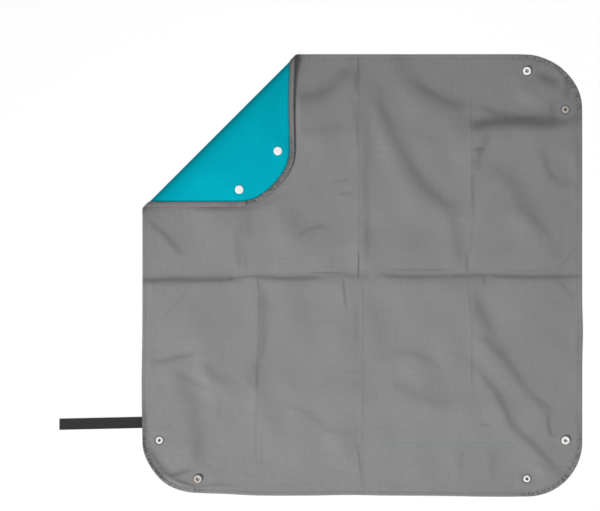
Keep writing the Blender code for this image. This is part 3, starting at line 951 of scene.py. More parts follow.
WRINKLES = (
    # Top right
    Crease(
        (468, 127, 484, 124, 502, 121.5, 520, 121.5, 538, 124, 552, 123, 566, 117, 578, 113),
        13.0, 20.0, 0.75, 0.08, mound=0.15,
    ),
    Crease((472, 103, 490, 110, 508, 115, 530, 117, 556, 115), 6.7, 12.0, 0.35, 0.2, mound=0.15),
    Crease((514, 66, 528, 72, 546, 77.5, 562, 86), 13.0, 20.0, 0.3, 0.2, mound=0.15),
    Crease((568, 74, 568, 92, 565, 112), 6.3, 14.0, 0.5, 0.15, mound=0.15),
    Crease((546, 112, 562, 111, 580, 110), 8.0, 26.0, 0.75, 0.2, mound=0.15),
    Crease((490, 132, 483, 146, 475, 166), 5.7, 14.0, 0.26, 0.2),
    Crease((546, 176, 566, 186, 580, 187), 0.3, 12.0, 0.1, 0.25),
    Crease((514, 87, 526, 88, 542, 91), 4.7, 16.0),
    Crease((542, 144, 547, 170, 560, 182, 582, 188), 3.1, 10.0, 0.1, 0.25),
    Crease((484, 162, 506, 176, 524, 196, 540, 212), 4.4, 26.0, 0.06, 0.2),
    Crease((394, 46, 404, 68, 418, 84, 432, 96, 448, 104, 470, 107), 13.0, 30.0, 0.24, 0.1, mound=0.15),
    # Top middle
    Crease(
        (374, 84, 382.5, 110, 392.5, 137, 405, 161, 421.5, 184.5, 442, 203, 464, 219),
        13.0, 28.0, 0.16, 0.15, mound=0.15,
    ),
    Crease((294, 102, 312, 96, 332, 88, 350, 66), 8.0, 26.0, 0.38, 0.12, mound=0.15),
    Crease((294, 130, 320, 131, 348, 126), 3.3, 18.0, 0.13, 0.2),
    Crease((330, 184, 340, 181, 352, 180), 0.9, 4.4, 0.17),
    Crease((336, 195, 345, 193.6, 356, 193.5), 1.2, 4.4, 0.28),
    Crease((296, 244, 302, 233, 311, 228, 330, 225), 2.2, 7.1, 0.21),
    Crease((398, 130, 430, 140, 452, 152), 1.3, 20.0),
    # Right edge
    Crease((506, 200, 530, 213, 548, 230, 570, 252), 8.0, 28.0, 0.06, 0.2, mound=0.15),
    Crease((579, 245, 570, 255, 560, 267), 0.9, 2.0, 0.5, 0.2, Fold.PINCH),
    Crease((556, 277, 567, 290, 578, 304), 0.8, 3.4, 0.35),
    Crease((549, 299, 577, 313), 0.4, 3.9, 0.14),
    # Left edge
    Crease(
        (141.8, 330, 141.4, 372, 141.4, 412, 142.2, 436, 145.4, 456, 153, 472, 166, 484, 184, 491),
        0.3, 4.6, 0.6, 0.25, Fold.RIDGE,
    ),
    Crease((141.4, 398, 141.6, 424), 0.2, 12.9, 0.75, 0.3, Fold.RIDGE),
    Crease((143, 404, 143.5, 430, 147, 450, 156, 468, 172, 482), 1.4, 18.0, 0.45, 0.2),
    Crease((146, 444, 156, 464, 172, 478, 190, 486), 1.0, 14.0, 0.2, 0.2),
    Crease((137, 270, 137.5, 330), 0.2, 3.8, 0.2, 0.2, Fold.RIDGE),
    Crease((144, 216, 151, 223, 165, 234, 186, 260), 2.3, 9.6, 0.36),
    Crease((154, 214, 196, 252), 6.0, 24.0, mound=0.15),
    Crease((194, 284, 169, 312, 157, 322), 0.7, 2.2, 0.4, 0.2, Fold.PINCH),
    Crease((146, 363, 165, 361, 180, 357, 203, 352), 2.4, 8.5, 0.25),
    Crease((168, 369, 190, 381, 216, 394), 1.5, 9.6, 0.23),
    Crease((176, 372, 189, 398, 198, 436, 198, 472), 6.0, 26.0, 0.3, 0.15, mound=0.15),
    Crease((200, 358, 214, 378, 234, 392, 254, 392), 5.3, 22.0, 0.3, 0.2),
    Crease((196, 386, 204, 410, 206, 446), 0.5, 12.0),
    Crease((244, 383, 223, 398), 1.2, 3.3, 0.1, 0.25, Fold.PINCH),
    Crease((222, 393, 217, 424), 1.4, 6.4, 0.18),
    Crease((248, 372, 252, 382, 256, 396), 0.6, 5.1, 0.16),
    Crease((247, 376, 243, 392, 233, 405), 1.1, 3.3, 0.0, 0.25, Fold.RIDGE),
    Crease((166, 477, 180, 473, 197, 470), 4.5, 7.4, 0.48),
    Crease((166, 478, 180, 483, 200, 487, 216, 491), 1.9, 8.5, 0.29),
    Crease((150, 430, 176, 425.5), 1.1, 3.4, 0.3),
    # Bottom middle
    Crease((255, 399, 283, 403, 300, 410, 313, 416, 326, 430, 348, 434, 366, 430), 0.8, 8.5, 0.12),
    Crease((366, 371, 376, 360, 388, 353.5, 406, 350.5, 428, 357, 451, 376), 2.7, 14.0, fade=0.2),
    Crease((331, 372.5, 352, 371.5, 396, 373), 0.2, 3.4, 0.07),
    Crease((386, 377, 414, 395, 432, 401, 458, 406), 3.2, 16.0, fade=0.25),
    Crease((386.6, 372, 387, 400, 389, 428), 0.1, 2.6, 0.06),
    Crease((300, 322, 322, 321, 340, 322), 0.5, 3.5, 0.15),
    # Bottom right
    Crease((583, 310, 583, 350), 0.3, 3.8, 0.5, 0.25, Fold.RIDGE),
    Crease((496, 340, 510, 362, 524, 388), 1.3, 18.0, 0.1, 0.25),
    Crease((472, 284, 480, 310, 498, 344), 8.0, 20.0, fade=0.25, mound=0.15),
    Crease(
        (472, 328, 487, 341, 503, 355, 517, 375, 532, 394, 548, 406, 562, 416),
        8.0, 19.0, fade=0.18, mound=0.15,
    ),
    Crease((547, 411, 548.5, 424, 550, 434, 562, 441), 1.9, 5.1, 0.45),
    Crease(
        (472, 363, 484, 377, 497, 393, 506, 411, 512, 428, 532, 443, 546, 459, 568, 481),
        4.5, 10.0, fade=0.12,
    ),
    Crease((514, 457, 538, 464, 562, 477), 0.6, 7.4, 0.11),
    Crease((461, 446, 462, 492), 3.6, 14.0, fade=0.25),
    Crease((493, 446, 493, 492), 2.2, 9.6, 0.23),
    Crease((475, 423.6, 484, 425, 494, 426.5), 0.8, 4.3, 0.24),
)

CREASES = (*ACROSS_THE_MIDDLE, *DOWN_THE_MAT, *WRINKLES)


@dataclass(frozen=True)
class EdgePull:
    """A place where the mat's edge lies beside its even outline.

    The place is in pixels of the photograph, the shift and the reach in millimetres.
    """

    place: tuple[float, float]
    shift: tuple[float, float]
    reach: float


EDGE_PULLS = (
    EdgePull((568, 70), (-2.3, -2.3), 42),
    EdgePull((184, 494), (0, 5.6), 58),
    EdgePull((152, 470), (2.2, 2.0), 34),
    EdgePull((226, 495), (0, 2.2), 40),
    EdgePull((350, 495), (0, 1.2), 50),
    EdgePull((546, 57), (-0.4, -2.0), 28),
    EdgePull((500, 495), (0, -2.0), 90),
    EdgePull((142, 385), (-1.4, 0), 70),
    EdgePull((582, 332), (1.2, 0), 36),
    # The turned corner, on the flat mat
    EdgePull((163, 73), (4.8, -4.8), 46),
    EdgePull((245, 54), (0, -2.0), 60),
)


class Relief:
    """The heights of the fabric above its flat level, from its creases, slack and seams."""

    slack_seed = 11
    slack_waves = 26
    slack_lengths = (55 * MM, 260 * MM)
    slack_height = 0.0016
    swell_pitch = 8.0 * MM
    swell_reach = 45.0 * MM
    # How far a step's slope reaches for its length, a valley's or ridge's for its width, and where it fades
    step_reach = 1.6
    narrow_reach = 3
    full_to = 0.3
    # How wide a crease's painted shade is, for its width, and at the least
    painted_shade_width = 0.6
    least_painted_shade_width = 1.2
    # The press studs hold the fabric still round them, and farther out it is free
    held = (8 * MM, 34 * MM)
    # The seam's ripples: their length, what makes them uneven, their height and where they lie
    ripple = 9.5 * MM
    ripple_drift = (2.5, 47 * MM)
    ripple_beats = (61 * MM, 37 * MM)
    ripple_variation = 0.4
    ripple_heights = (0.13, 0.5)
    ripple_reach = 8 * MM
    # The pucker pattern: its strength along the sides and round the corners, and where it lies
    pucker_strengths = (0.15, 1.05)
    pucker_from_edge = 4.5 * MM
    pucker_reach = 5.5 * MM
    # How far along the straight sides a corner's puckers and ripples run, and how far round it they grow
    pucker_run_in = 50 * MM
    ripple_run_in = 15 * MM
    corner_run_in = 10 * MM

    def __init__(self, sizes: MatSizes) -> None:
        """Settles the waves of slack and the swell of the creases.

        Args:
            sizes: the mat's sizes.
        """
        self.sizes = sizes
        half_x, half_y = sizes.half
        self.swell_x = sizes.middle[0] + np.arange(-half_x, half_x + self.swell_pitch, self.swell_pitch)
        self.swell_y = sizes.middle[1] + np.arange(-half_y, half_y + self.swell_pitch, self.swell_pitch)
        grid_x, grid_y = np.meshgrid(self.swell_x, self.swell_y, indexing="ij")
        heights, _ = self.creases(grid_x.ravel(), grid_y.ravel())
        self.swell_heights = self.blurred(heights.reshape(grid_x.shape))
        draw = np.random.default_rng(self.slack_seed)
        lengths = np.exp(draw.uniform(*map(math.log, self.slack_lengths), self.slack_waves))
        headings = draw.uniform(0, math.pi, self.slack_waves)
        self.waves = np.stack([np.cos(headings) / lengths, np.sin(headings) / lengths], axis=1) * 2 * math.pi
        self.phases = draw.uniform(0, 2 * math.pi, self.slack_waves)
        self.heights = self.slack_height * lengths

    def slack(self, x: Array, y: Array) -> Array:
        """The soft unevenness of fabric that lies by itself.

        Args:
            x, y: places on the flat mat.

        Returns:
            The heights.
        """
        total = np.zeros_like(x)
        for (wave_x, wave_y), phase, height in zip(self.waves, self.phases, self.heights):
            total += height * np.sin(wave_x * x + wave_y * y + phase)
        return total

    def blurred(self, heights: Array) -> Array:
        """Spreads heights on the coarse grid over their surroundings.

        Args:
            heights: the heights on the coarse grid.

        Returns:
            The blurred heights.
        """
        for axis in range(2):
            places = np.arange(heights.shape[axis]) * self.swell_pitch
            share = bell(places[:, None] - places[None, :], self.swell_reach)
            share /= share.sum(axis=1, keepdims=True)
            heights = np.moveaxis(np.tensordot(share, heights, axes=(1, axis)), 0, axis)
        return heights

    def swell(self, x: Array, y: Array) -> Array:
        """The wide rise and fall that the creases add up to, which the fabric lets go as it settles.

        Args:
            x, y: places on the flat mat.

        Returns:
            The heights.
        """
        # A place on the far side counts as just inside the last cell
        at_x = np.clip((x - self.swell_x[0]) / self.swell_pitch, 0, len(self.swell_x) - 1.001)
        at_y = np.clip((y - self.swell_y[0]) / self.swell_pitch, 0, len(self.swell_y) - 1.001)
        low_x, low_y = at_x.astype(int), at_y.astype(int)
        past_x, past_y = at_x - low_x, at_y - low_y
        heights = self.swell_heights
        near = heights[low_x, low_y] * (1 - past_y) + heights[low_x, low_y + 1] * past_y
        far = heights[low_x + 1, low_y] * (1 - past_y) + heights[low_x + 1, low_y + 1] * past_y
        return near * (1 - past_x) + far * past_x

    def creases(self, x: Array, y: Array) -> tuple[Array, Array]:
        """Adds up the creases.

        Args:
            x, y: places on the flat mat.

        Returns:
            The height, and how much shade a crease paints at each place, 0 to 1.
        """
        total, painted_shading = np.zeros_like(x), np.zeros_like(x)
        for crease in CREASES:
            path_x, path_y = self.sizes.from_photo(*np.reshape(crease.path, (-1, 2)).T)
            length = np.hypot(np.diff(path_x), np.diff(path_y)).sum()
            path = np.array(evenly_spaced(np.stack([path_x, path_y], axis=1), length / crease.pieces))
            is_step = crease.fold is Fold.STEP
            reach = self.step_reach * length if is_step else self.narrow_reach * crease.width * MM
            near = (x > path_x.min() - reach) & (x < path_x.max() + reach)
            near &= (y > path_y.min() - reach) & (y < path_y.max() + reach)
            aside, share = beside(x[near], y[near], path[:, 0], path[:, 1])
            within = smooth(-np.abs(aside), -reach, -self.full_to * reach)
            total[near] += crease.heights(x[near], y[near], path, aside, share) * within
            line = bell(aside, max(self.painted_shade_width * crease.width, self.least_painted_shade_width) * MM)
            painted_shading[near] += crease.painted_shade * line * crease.strength(share)
        return total, np.minimum(painted_shading, 1)

    def from_fitting(self, x: Array, y: Array) -> Array:
        """The distance to the nearest press stud."""
        return np.min([np.hypot(x - at_x, y - at_y) for at_x, at_y in self.sizes.fittings], axis=0)

    def still(self, x: Array, y: Array) -> Array:
        """How free the fabric is to leave its level: 0 at the press studs, 1 away from them."""
        return smooth(self.from_fitting(x, y), *self.held)

    def hem_place(self, x: Array, y: Array) -> Array:
        """Finds where places lie in the hem.

        Args:
            x, y: places on the flat mat.

        Returns:
            The run along the hem, the distance in from the edge, and how strongly it puckers there.
        """
        inward, along = self.sizes.edge_place(x, y)
        at_sides, at_corners = self.pucker_strengths
        strength = at_sides + at_corners * self.round_corner(x, y, self.pucker_run_in)
        strength *= bell(inward - self.pucker_from_edge, self.pucker_reach)
        return np.stack([along, inward, strength], axis=1)

    def round_corner(self, x: Array, y: Array, run_in: float) -> Array:
        """Tells the mat's round corners from its straight sides.

        Args:
            x, y: places on the flat mat.
            run_in: how far along the straight side a corner still counts.

        Returns:
            1 beside the round corners, and less to 0 along the straight sides.
        """
        half_x, half_y = self.sizes.half
        radius = self.sizes.corner_radius
        past_x = np.abs(x - self.sizes.middle[0]) - (half_x - radius)
        past_y = np.abs(y - self.sizes.middle[1]) - (half_y - radius)
        return smooth(np.minimum(past_x, past_y), -run_in, self.corner_run_in)

    def puckers(self, x: Array, y: Array) -> Array:
        """The ripples that the seam draws into the hem, strongest round the corners.

        Args:
            x, y: places on the flat mat.

        Returns:
            Their heights.
        """
        inward, along = self.sizes.edge_place(x, y)
        circle = 2 * math.pi * along
        slow, quick = self.ripple_beats
        varies = self.ripple_variation
        uneven = 1 - varies + varies * np.sin(circle / slow) * np.sin(circle / quick + 1)
        drift, drift_length = self.ripple_drift
        wave = np.sin(circle / self.ripple + drift * np.sin(circle / drift_length))
        at_sides, at_corners = self.ripple_heights
        height = (at_sides + at_corners * self.round_corner(x, y, self.ripple_run_in)) * MM
        return height * uneven * wave * bell(inward - self.sizes.seam_from_edge, self.ripple_reach)


def beside(x: Array, y: Array, path_x: Array, path_y: Array) -> tuple[Array, Array]:
    """Finds places relative to a path.

    Args:
        x, y: the places.
        path_x, path_y: the path's points.

    Returns:
        The distance to the path, positive on its left, and how far along the path the nearest point is.
    """
    steps = np.hypot(np.diff(path_x), np.diff(path_y))
    run = np.concatenate([[0], np.cumsum(steps)]) / steps.sum()
    nearest = np.full(x.shape, np.inf)
    aside, share = np.zeros_like(x), np.zeros_like(x)
    for i, step in enumerate(steps):
        toward_x = (path_x[i + 1] - path_x[i]) / step
        toward_y = (path_y[i + 1] - path_y[i]) / step
        off_x, off_y = x - path_x[i], y - path_y[i]
        forward = np.clip(off_x * toward_x + off_y * toward_y, 0, step)
        distance = np.hypot(off_x - forward * toward_x, off_y - forward * toward_y)
        side = np.where(toward_x * off_y - toward_y * off_x > 0, 1, -1)
        closer = distance < nearest
        nearest = np.where(closer, distance, nearest)
        aside = np.where(closer, distance * side, aside)
        share = np.where(closer, run[i] + (run[i + 1] - run[i]) * forward / step, share)
    return aside, share


@dataclass
class CornerRoll:
    """Turns the top left corner over: a soft fold, and the flap on the slope that its solid has.

    The fold is half an ellipse. Its start and half height are worked out so that it takes up the same
    length of fabric as the band of the part, and ends on the flap's slope.
    """

    sizes: MatSizes
    start: float = -5.619 * MM
    half_height: float = 6.530 * MM
    bulge: float = 2.47 * MM
    middle_level: float = 1.8 * MM
    slope: float = math.radians(4.4672)
    steps: int = 400
    # The uneven edge runs out between these distances in from it
    edge_reach = (9 * MM, 26 * MM)
    run: Array = field(init=False)
    outward: Array = field(init=False)
    level: Array = field(init=False)
    turn: Array = field(init=False)

    def __post_init__(self) -> None:
        """Works out the line of the fold in small steps."""
        reach = self.bulge - self.start
        last = math.pi / 2 + math.atan(math.tan(self.slope) * reach / self.half_height)
        angle = np.linspace(-math.pi / 2, last, self.steps)
        self.outward = self.start + reach * np.cos(angle)
        self.level = self.middle_level + self.half_height * (1 + np.sin(angle))
        steps = np.hypot(np.diff(self.outward), np.diff(self.level))
        self.run = self.start + np.concatenate([[0], np.cumsum(steps)])
        self.turn = np.arctan2(self.half_height * np.cos(angle), -reach * np.sin(angle))
        # Past half a turn the angle would jump to its negative side
        self.turn = np.where(self.turn < -1, self.turn + 2 * math.pi, self.turn)

    @property
    def to_corner(self) -> tuple[float, float]:
        """The direction from the fold to the mat's square corner."""
        return -math.sqrt(0.5), math.sqrt(0.5)

    @property
    def end(self) -> float:
        """The place beyond the first bend at which the fold is over."""
        return float(self.run[-1])

    def beyond(self, x: Array, y: Array) -> Array:
        """Finds how far places on the flat mat lie beyond the corner's first bend.

        Args:
            x, y: places on the flat mat.

        Returns:
            The distances, negative on the mat's side.
        """
        toward_x, toward_y = self.to_corner
        from_corner = (x - self.sizes.left) * toward_x + (y - self.sizes.top) * toward_y
        return from_corner + self.sizes.fold_leg * math.sqrt(0.5)

    def fold(self, x: Array, y: Array, level: Array) -> Array:
        """Carries places of the flat mat to where they lie with the corner turned over.

        Args:
            x, y: places on the flat mat.
            level: their height above the floor on the flat mat.

        Returns:
            The places in space, one a row.
        """
        x, y = self.pulled(x, y)
        run = self.beyond(x, y)
        past = np.maximum(run - self.end, 0)
        outward = np.interp(run, self.run, self.outward) - past * math.cos(self.slope)
        height = np.interp(run, self.run, self.level) - past * math.sin(self.slope)
        turn = np.interp(run, self.run, self.turn)
        above = level - self.middle_level
        outward -= above * np.sin(turn)
        height += above * np.cos(turn)
        flat = run <= self.start
        shift = np.where(flat, 0, outward - run)
        toward_x, toward_y = self.to_corner
        return np.stack([x + shift * toward_x, y + shift * toward_y, np.where(flat, level, height)], axis=1)

    def pulled(self, x: Array, y: Array) -> tuple[Array, Array]:
        """Draws the mat's edge to where the cutting and the sewing left it.

        Args:
            x, y: places on the flat mat with an even edge.

        Returns:
            The places on the real mat, which differ near the edge alone.
        """
        inward, _ = self.sizes.edge_place(x, y)
        at_edge = 1 - smooth(inward, *self.edge_reach)
        shift_x, shift_y = np.zeros_like(x), np.zeros_like(y)
        for pull in EDGE_PULLS:
            place_x, place_y = self.sizes.from_photo(*pull.place)
            share = at_edge * bell(np.hypot(x - place_x, y - place_y), pull.reach * MM)
            shift_x += share * pull.shift[0] * MM
            shift_y += share * pull.shift[1] * MM
        return x + shift_x, y + shift_y

    def under_flap(self, x: Array, y: Array) -> tuple[Array, Array]:
        """Finds places on the mat in terms of the turned corner that lies above them.

        Args:
            x, y: places on the flat mat.

        Returns:
            How far they lie beyond the first bend, and how far in from the edge of the turned corner.
        """
        run = self.beyond(x, y)
        toward_x, toward_y = self.to_corner
        inward, _ = self.sizes.edge_place(x - 2 * run * toward_x, y - 2 * run * toward_y)
        return run, inward

    def near_flap(self, x: Array, y: Array, reach: float) -> Array:
        """Is 1 for places on the mat under the turned corner, and falls to 0 a reach away from it."""
        run, inward = self.under_flap(x, y)
        return smooth(-run, -reach, 0) * smooth(inward, -reach, 0)

    def flap_above(self, x: Array, y: Array) -> Array:
        """How far under the turned corner places on the mat lie, from 0 at its edge, or less beside it."""
        run, inward = self.under_flap(x, y)
        return np.where(run < 0, inward, -1.0)


class Part(Enum):
    """The pieces of the fabric, which meet at its fold lines."""

    LOWER = "mat_sheet_lower"
    UPPER = "mat_sheet_upper"
    FOLD = "mat_sheet_fold"
    FLAP = "mat_sheet_flap"


@dataclass(frozen=True)
class Bend:
    """How a piece of fabric follows the part."""

    bodies: tuple[str, str]
    start: Place
    end: Place


class Fabric:
    """The mat's one sheet of fabric, with its turned hem."""

    hem_rings = (0.0, 0.3, 0.8, 1.5, 2.8, 4.6, 6.6, 7.5, 8.2, 8.7, 8.95, 9.15, 10.0, 12.0, 14.8, 17.5)
    pitch = 3.1 * MM
    fine_pitch = 1.25 * MM
    fold_pitch = 1.9 * MM
    folds_down = ((-196 * MM, -186 * MM), (-36 * MM, -2 * MM), (188 * MM, 204 * MM))
    folds_across = ((-15 * MM, 15 * MM),)
    fold_run_in = 8 * MM
    # In how many steps the grid adds up how close its lines are
    grid_samples = 16001
    # A cut looks for faces this near to its line, and goes through a point that is this near
    cut_reach = 3 * pitch
    cut_snap = 0.02 * MM
    bottom_clearance = 0.12 * MM
    edge_curl = 1.5 * MM
    # How high the face may stand, so that the two halves don't meet when the mat is folded
    headroom = 7.0 * MM
    headroom_under_fold = 2.2 * MM
    headroom_under_strap = 0.15 * MM
    flap_reach = 40 * MM
    strap_landing = 160 * MM
    strap_clear = (5 * MM, 90 * MM)
    # The roll and the flap's slope keep to their solids, and the mat lies low under the flap
    mat_from_fold = (7 * MM, 40 * MM)
    flap_from_fold = 30 * MM
    covered = (-2 * MM, 14 * MM)
    # The sheet sinks inside the thicker hem, from and to these distances in from the edge
    mat_sunk = 0.7 * MM
    mat_sunk_from = (10 * MM, 30 * MM)
    flap_sunk = 0.9 * MM
    flap_sunk_from = (9 * MM, 12 * MM)
    # Creased fabric stands a little above the floor, less so towards its hem, which holds it flat
    lift = 2.4 * MM
    lift_from = (20 * MM, 120 * MM)
    slack_share = 1.3
    flap_slack_share = 0.5
    hem_share = 0.25
    free_from = (0.5 * MM, 16 * MM)
    # It can't go below the floor or above its room, and comes to both softly
    lowest = 0.6 * MM
    softness = 0.4 * MM
    # The seam's groove, and the hem's crown outside it
    seam_depth = 0.3 * MM
    seam_width = 0.8 * MM
    crown_height = 0.18 * MM
    crown_from_edge = 4 * MM
    crown_width = 2.6 * MM
    # The turned corner's edge sinks towards the mat by this share of the room that it has
    flap_rest = 3.9 * MM
    droop_share = 0.65
    droop_reach = (9 * MM, 66 * MM)
    # The strap's end takes the hem's place where it is sewn in
    strap_end = 20 * MM
    strap_depth = 1.25 * MM
    strap_run_in = 2 * MM
    least_thickness = 0.3 * MM
    sheet_clearance = 0.15 * MM
    # Just past the hem's inner edge, where its back steps to the sheet
    hem_edge = 0.05 * MM
    # The shade in the corner behind the hem's inner edge, and on the part that is turned in
    corner_shade = (0.8, 0.3 * MM, 1.2 * MM)
    turned_shade = (0.3, 4 * MM, 5.5 * MM)
    # Creases paint no shade this near to the turned corner's fold
    painted_shade_from_fold = 20 * MM
    # The edge's own layer, less a little for rounding
    edge_layer = 0.499
    # How dark the shade painted along the turned corner's fold is, and over what width on both sides
    fold_painted_shade = ((0.7, 11 * MM), (0.25, 32 * MM))

    def __init__(self, sizes: MatSizes, finishes: Finishes) -> None:
        """Makes the tools that shape the fabric.

        Args:
            sizes: the mat's sizes.
            finishes: the materials.
        """
        self.sizes = sizes
        self.finishes = finishes
        self.relief = Relief(sizes)
        self.roll = CornerRoll(sizes)
        self.fold_middle = self.roll.run[int(np.argmax(self.roll.outward))]

    def grid_lines(self, half: float, folds: tuple[tuple[float, float], ...]) -> Array:
        """Places of the grid's lines across the mat: close at the hem and at the folds.

        Args:
            half: half the mat's size in this direction.
            folds: where each fold lies, from and to, from the mat's middle.

        Returns:
            The places, from the mat's middle.
        """
        rings = np.array(self.hem_rings) * MM
        inner = half - rings[-1]
        places = np.linspace(-inner, inner, self.grid_samples)
        closeness = np.full(len(places), 1 / self.pitch)
        for low, high in folds:
            near = smooth(places, low - self.fold_run_in, low)
            near = near * smooth(-places, -high - self.fold_run_in, -high)
            closeness += near * (1 / self.fine_pitch - 1 / self.pitch)
        count = np.concatenate([[0], np.cumsum((closeness[1:] + closeness[:-1]) / 2 * np.diff(places))])
        lines = np.interp(np.linspace(0, count[-1], round(count[-1]) + 1), count, places)
        return np.concatenate([-half + rings[:-1], lines, half - rings[-2::-1]])

    def rounded(self, x: Array, y: Array) -> tuple[Array, Array]:
        """Draws the corners of a square grid in to the mat's round ones.

        Args:
            x, y: places from the mat's middle.

        Returns:
            The places on the mat with round corners.
        """
        half_x, half_y = self.sizes.half
        radius = self.sizes.corner_radius
        far_x, far_y = half_x - radius, half_y - radius
        from_x, from_y = np.abs(x), np.abs(y)
        inward = np.minimum(half_x - from_x, half_y - from_y)
        past = np.where(half_x - from_x < half_y - from_y, from_y - far_y, from_x - far_x)
        in_corner = (from_x > far_x) & (from_y > far_y)
        reach = np.maximum(radius - inward, 1e-9)
        turn = math.pi / 4 * np.clip(past / reach, 0, 1)
        turn = np.where(half_x - from_x < half_y - from_y, turn, math.pi / 2 - turn)
        new_x = np.where(in_corner, far_x + reach * np.cos(turn), from_x)
        new_y = np.where(in_corner, far_y + reach * np.sin(turn), from_y)
        return np.copysign(new_x, x), np.copysign(new_y, y)

    def flat_mesh(self) -> Mesh:
        """Makes the flat sheet: a face and a back that share the edge, cut at the lines where it folds.

        Returns:
            The mesh. Its layer is 1 on the face, 0 on the back and a half at the edge.
        """
        lines_x = self.grid_lines(self.sizes.half[0], self.folds_down)
        lines_y = self.grid_lines(self.sizes.half[1], self.folds_across)
        grid_x, grid_y = np.meshgrid(lines_x, lines_y, indexing="ij")
        x, y = self.rounded(grid_x.ravel(), grid_y.ravel())
        face = np.arange(x.size).reshape(grid_x.shape)
        inside = np.zeros(grid_x.shape, bool)
        inside[1:-1, 1:-1] = True
        back = face.copy()
        back[inside] = x.size + np.arange(inside.sum())
        layer = np.concatenate([np.where(inside.ravel(), 1.0, 0.5), np.zeros(inside.sum())])
        places = np.zeros((len(layer), 3))
        places[: x.size, 0] = x + self.sizes.middle[0]
        places[: x.size, 1] = y + self.sizes.middle[1]
        places[x.size :] = places[: x.size][inside.ravel()]
        faces = [*quads(face, False).tolist(), *quads(back, True).tolist()]
        mesh = bpy.data.meshes.new("flat_fabric")
        mesh.from_pydata(places.tolist(), [], faces)
        add_attribute(mesh, "layer", "FLOAT", layer)
        self.cut_fold_lines(mesh)
        return mesh

    def cut_fold_lines(self, mesh: Mesh) -> None:
        """Cuts the flat mesh along its middle and beside the corner's fold, so that it bends on clean edges.

        Args:
            mesh: the flat sheet.
        """
        body = bmesh.new()
        body.from_mesh(mesh)
        toward = Vector((*self.roll.to_corner, 0))
        corner = Vector((self.sizes.left, self.sizes.top, 0))
        foot = corner - toward * self.sizes.fold_leg * math.sqrt(0.5)
        half = math.ceil((self.fold_middle - self.roll.start) / self.fold_pitch)
        before = np.linspace(self.roll.start, self.fold_middle, half + 1)
        after = np.linspace(self.fold_middle, self.roll.end, half + 1)[1:]
        self.cut(body, foot, toward, [*before, *after])
        self.cut(body, Vector((0, 0, 0)), Vector((0, 1, 0)), [0])
        body.to_mesh(mesh)
        body.free()

    def cut(self, body: bmesh.types.BMesh, foot: Vector, across: Vector, offsets: list[float]) -> None:
        """Cuts a mesh along parallel lines.

        Args:
            body: the mesh.
            foot: the place that the offsets count from.
            across: the direction across the lines.
            offsets: how far each line is from the foot.
        """
        low, high = min(offsets) - self.cut_reach, max(offsets) + self.cut_reach
        near = [f for f in body.faces if low < (f.calc_center_median() - foot).dot(across) < high]
        geometry = [*{v for f in near for v in f.verts}, *{e for f in near for e in f.edges}, *near]
        for offset in offsets:
            result = bmesh.ops.bisect_plane(
                body, geom=geometry, dist=self.cut_snap, plane_co=foot + across * offset, plane_no=across
            )
            geometry = result["geom"]

    def face_level(self, x: Array, y: Array) -> Array:
        """Works out the height of the work face above the floor on the flat mat.

        Args:
            x, y: places on the flat mat.

        Returns:
            The heights.
        """
        inward, _ = self.sizes.edge_place(x, y)
        run = self.roll.beyond(x, y)
        heights, _ = self.relief.creases(x, y)
        heights = heights - self.relief.swell(x, y)
        on_mat = smooth(-run, *self.mat_from_fold)
        on_flap = smooth(run, self.roll.end, self.roll.end + self.flap_from_fold)
        uncovered = 1 - smooth(self.roll.flap_above(x, y), *self.covered)
        sunk = -self.mat_sunk * smooth(inward, *self.mat_sunk_from) * on_mat
        sunk = sunk - self.flap_sunk * smooth(inward, *self.flap_sunk_from) * on_flap
        lift = self.lift * smooth(inward, *self.lift_from) * on_mat * uncovered
        loose = on_mat * uncovered + self.flap_slack_share * on_flap
        slack = self.slack_share * self.relief.slack(x, y) * loose
        inside = smooth(inward, *self.free_from) * (1 - self.hem_share) + self.hem_share
        level = sunk + lift + (heights * on_mat * uncovered + slack) * inside
        level = -self.lowest + self.softness * np.logaddexp(0, (level + self.lowest) / self.softness)
        room = self.room(x, y)
        level = room - self.softness * np.logaddexp(0, (room - level) / self.softness)
        level = (level + self.droop(run, inward)) * self.relief.still(x, y)
        crown = self.crown_height * bell(inward - self.crown_from_edge, self.crown_width)
        raised = self.sizes.sheet_top + level - self.seam(inward) + crown
        return raised + self.relief.puckers(x, y) - self.curl(inward)

    def seam(self, inward: Array) -> Array:
        """How deep the stitches draw each side of the hem in."""
        return self.seam_depth * bell(inward - self.sizes.seam_from_edge, self.seam_width)

    def curl(self, inward: Array) -> Array:
        """How far each side of the hem draws in at its round edge."""
        return (1 - np.sqrt(1 - np.clip(1 - inward / self.edge_curl, 0, 1) ** 2)) * self.half_hem

    def room(self, x: Array, y: Array) -> Array:
        """How far the face may stand above its level.

        It keeps low where the turned corner comes down when the mat is folded in half, and where the
        strap comes down when it is swung over the mat.

        Args:
            x, y: places on the flat mat.

        Returns:
            The highest level at each place.
        """
        from_fold = np.maximum(-self.roll.beyond(x, -y), 0)
        under_flap = self.headroom_under_fold + from_fold * math.sin(self.roll.slope)
        share = np.where(y < 0, self.roll.near_flap(x, -y, self.flap_reach), 0)
        room = self.headroom + share * np.minimum(under_flap - self.headroom, 0)
        from_strap = np.abs(y + self.sizes.strap_below_centre) - self.sizes.strap_width / 2
        past_strap = x - self.sizes.left - self.strap_landing
        clear = smooth(np.maximum(from_strap, past_strap), *self.strap_clear)
        return self.headroom_under_strap + (room - self.headroom_under_strap) * clear

    def droop(self, run: Array, inward: Array) -> Array:
        """How far the edge of the turned corner sinks towards the mat, where it would stand well above it.

        Args:
            run: the distance beyond the first bend.
            inward: the distance in from the mat's edge.

        Returns:
            The distance that it sinks.
        """
        past = np.maximum(run - self.roll.end, 0)
        room = np.maximum(self.roll.level[-1] - past * math.sin(self.roll.slope) - self.flap_rest, 0)
        at_edge = 1 - smooth(inward, *self.droop_reach)
        return self.droop_share * room * smooth(past, 0, self.flap_from_fold) * at_edge

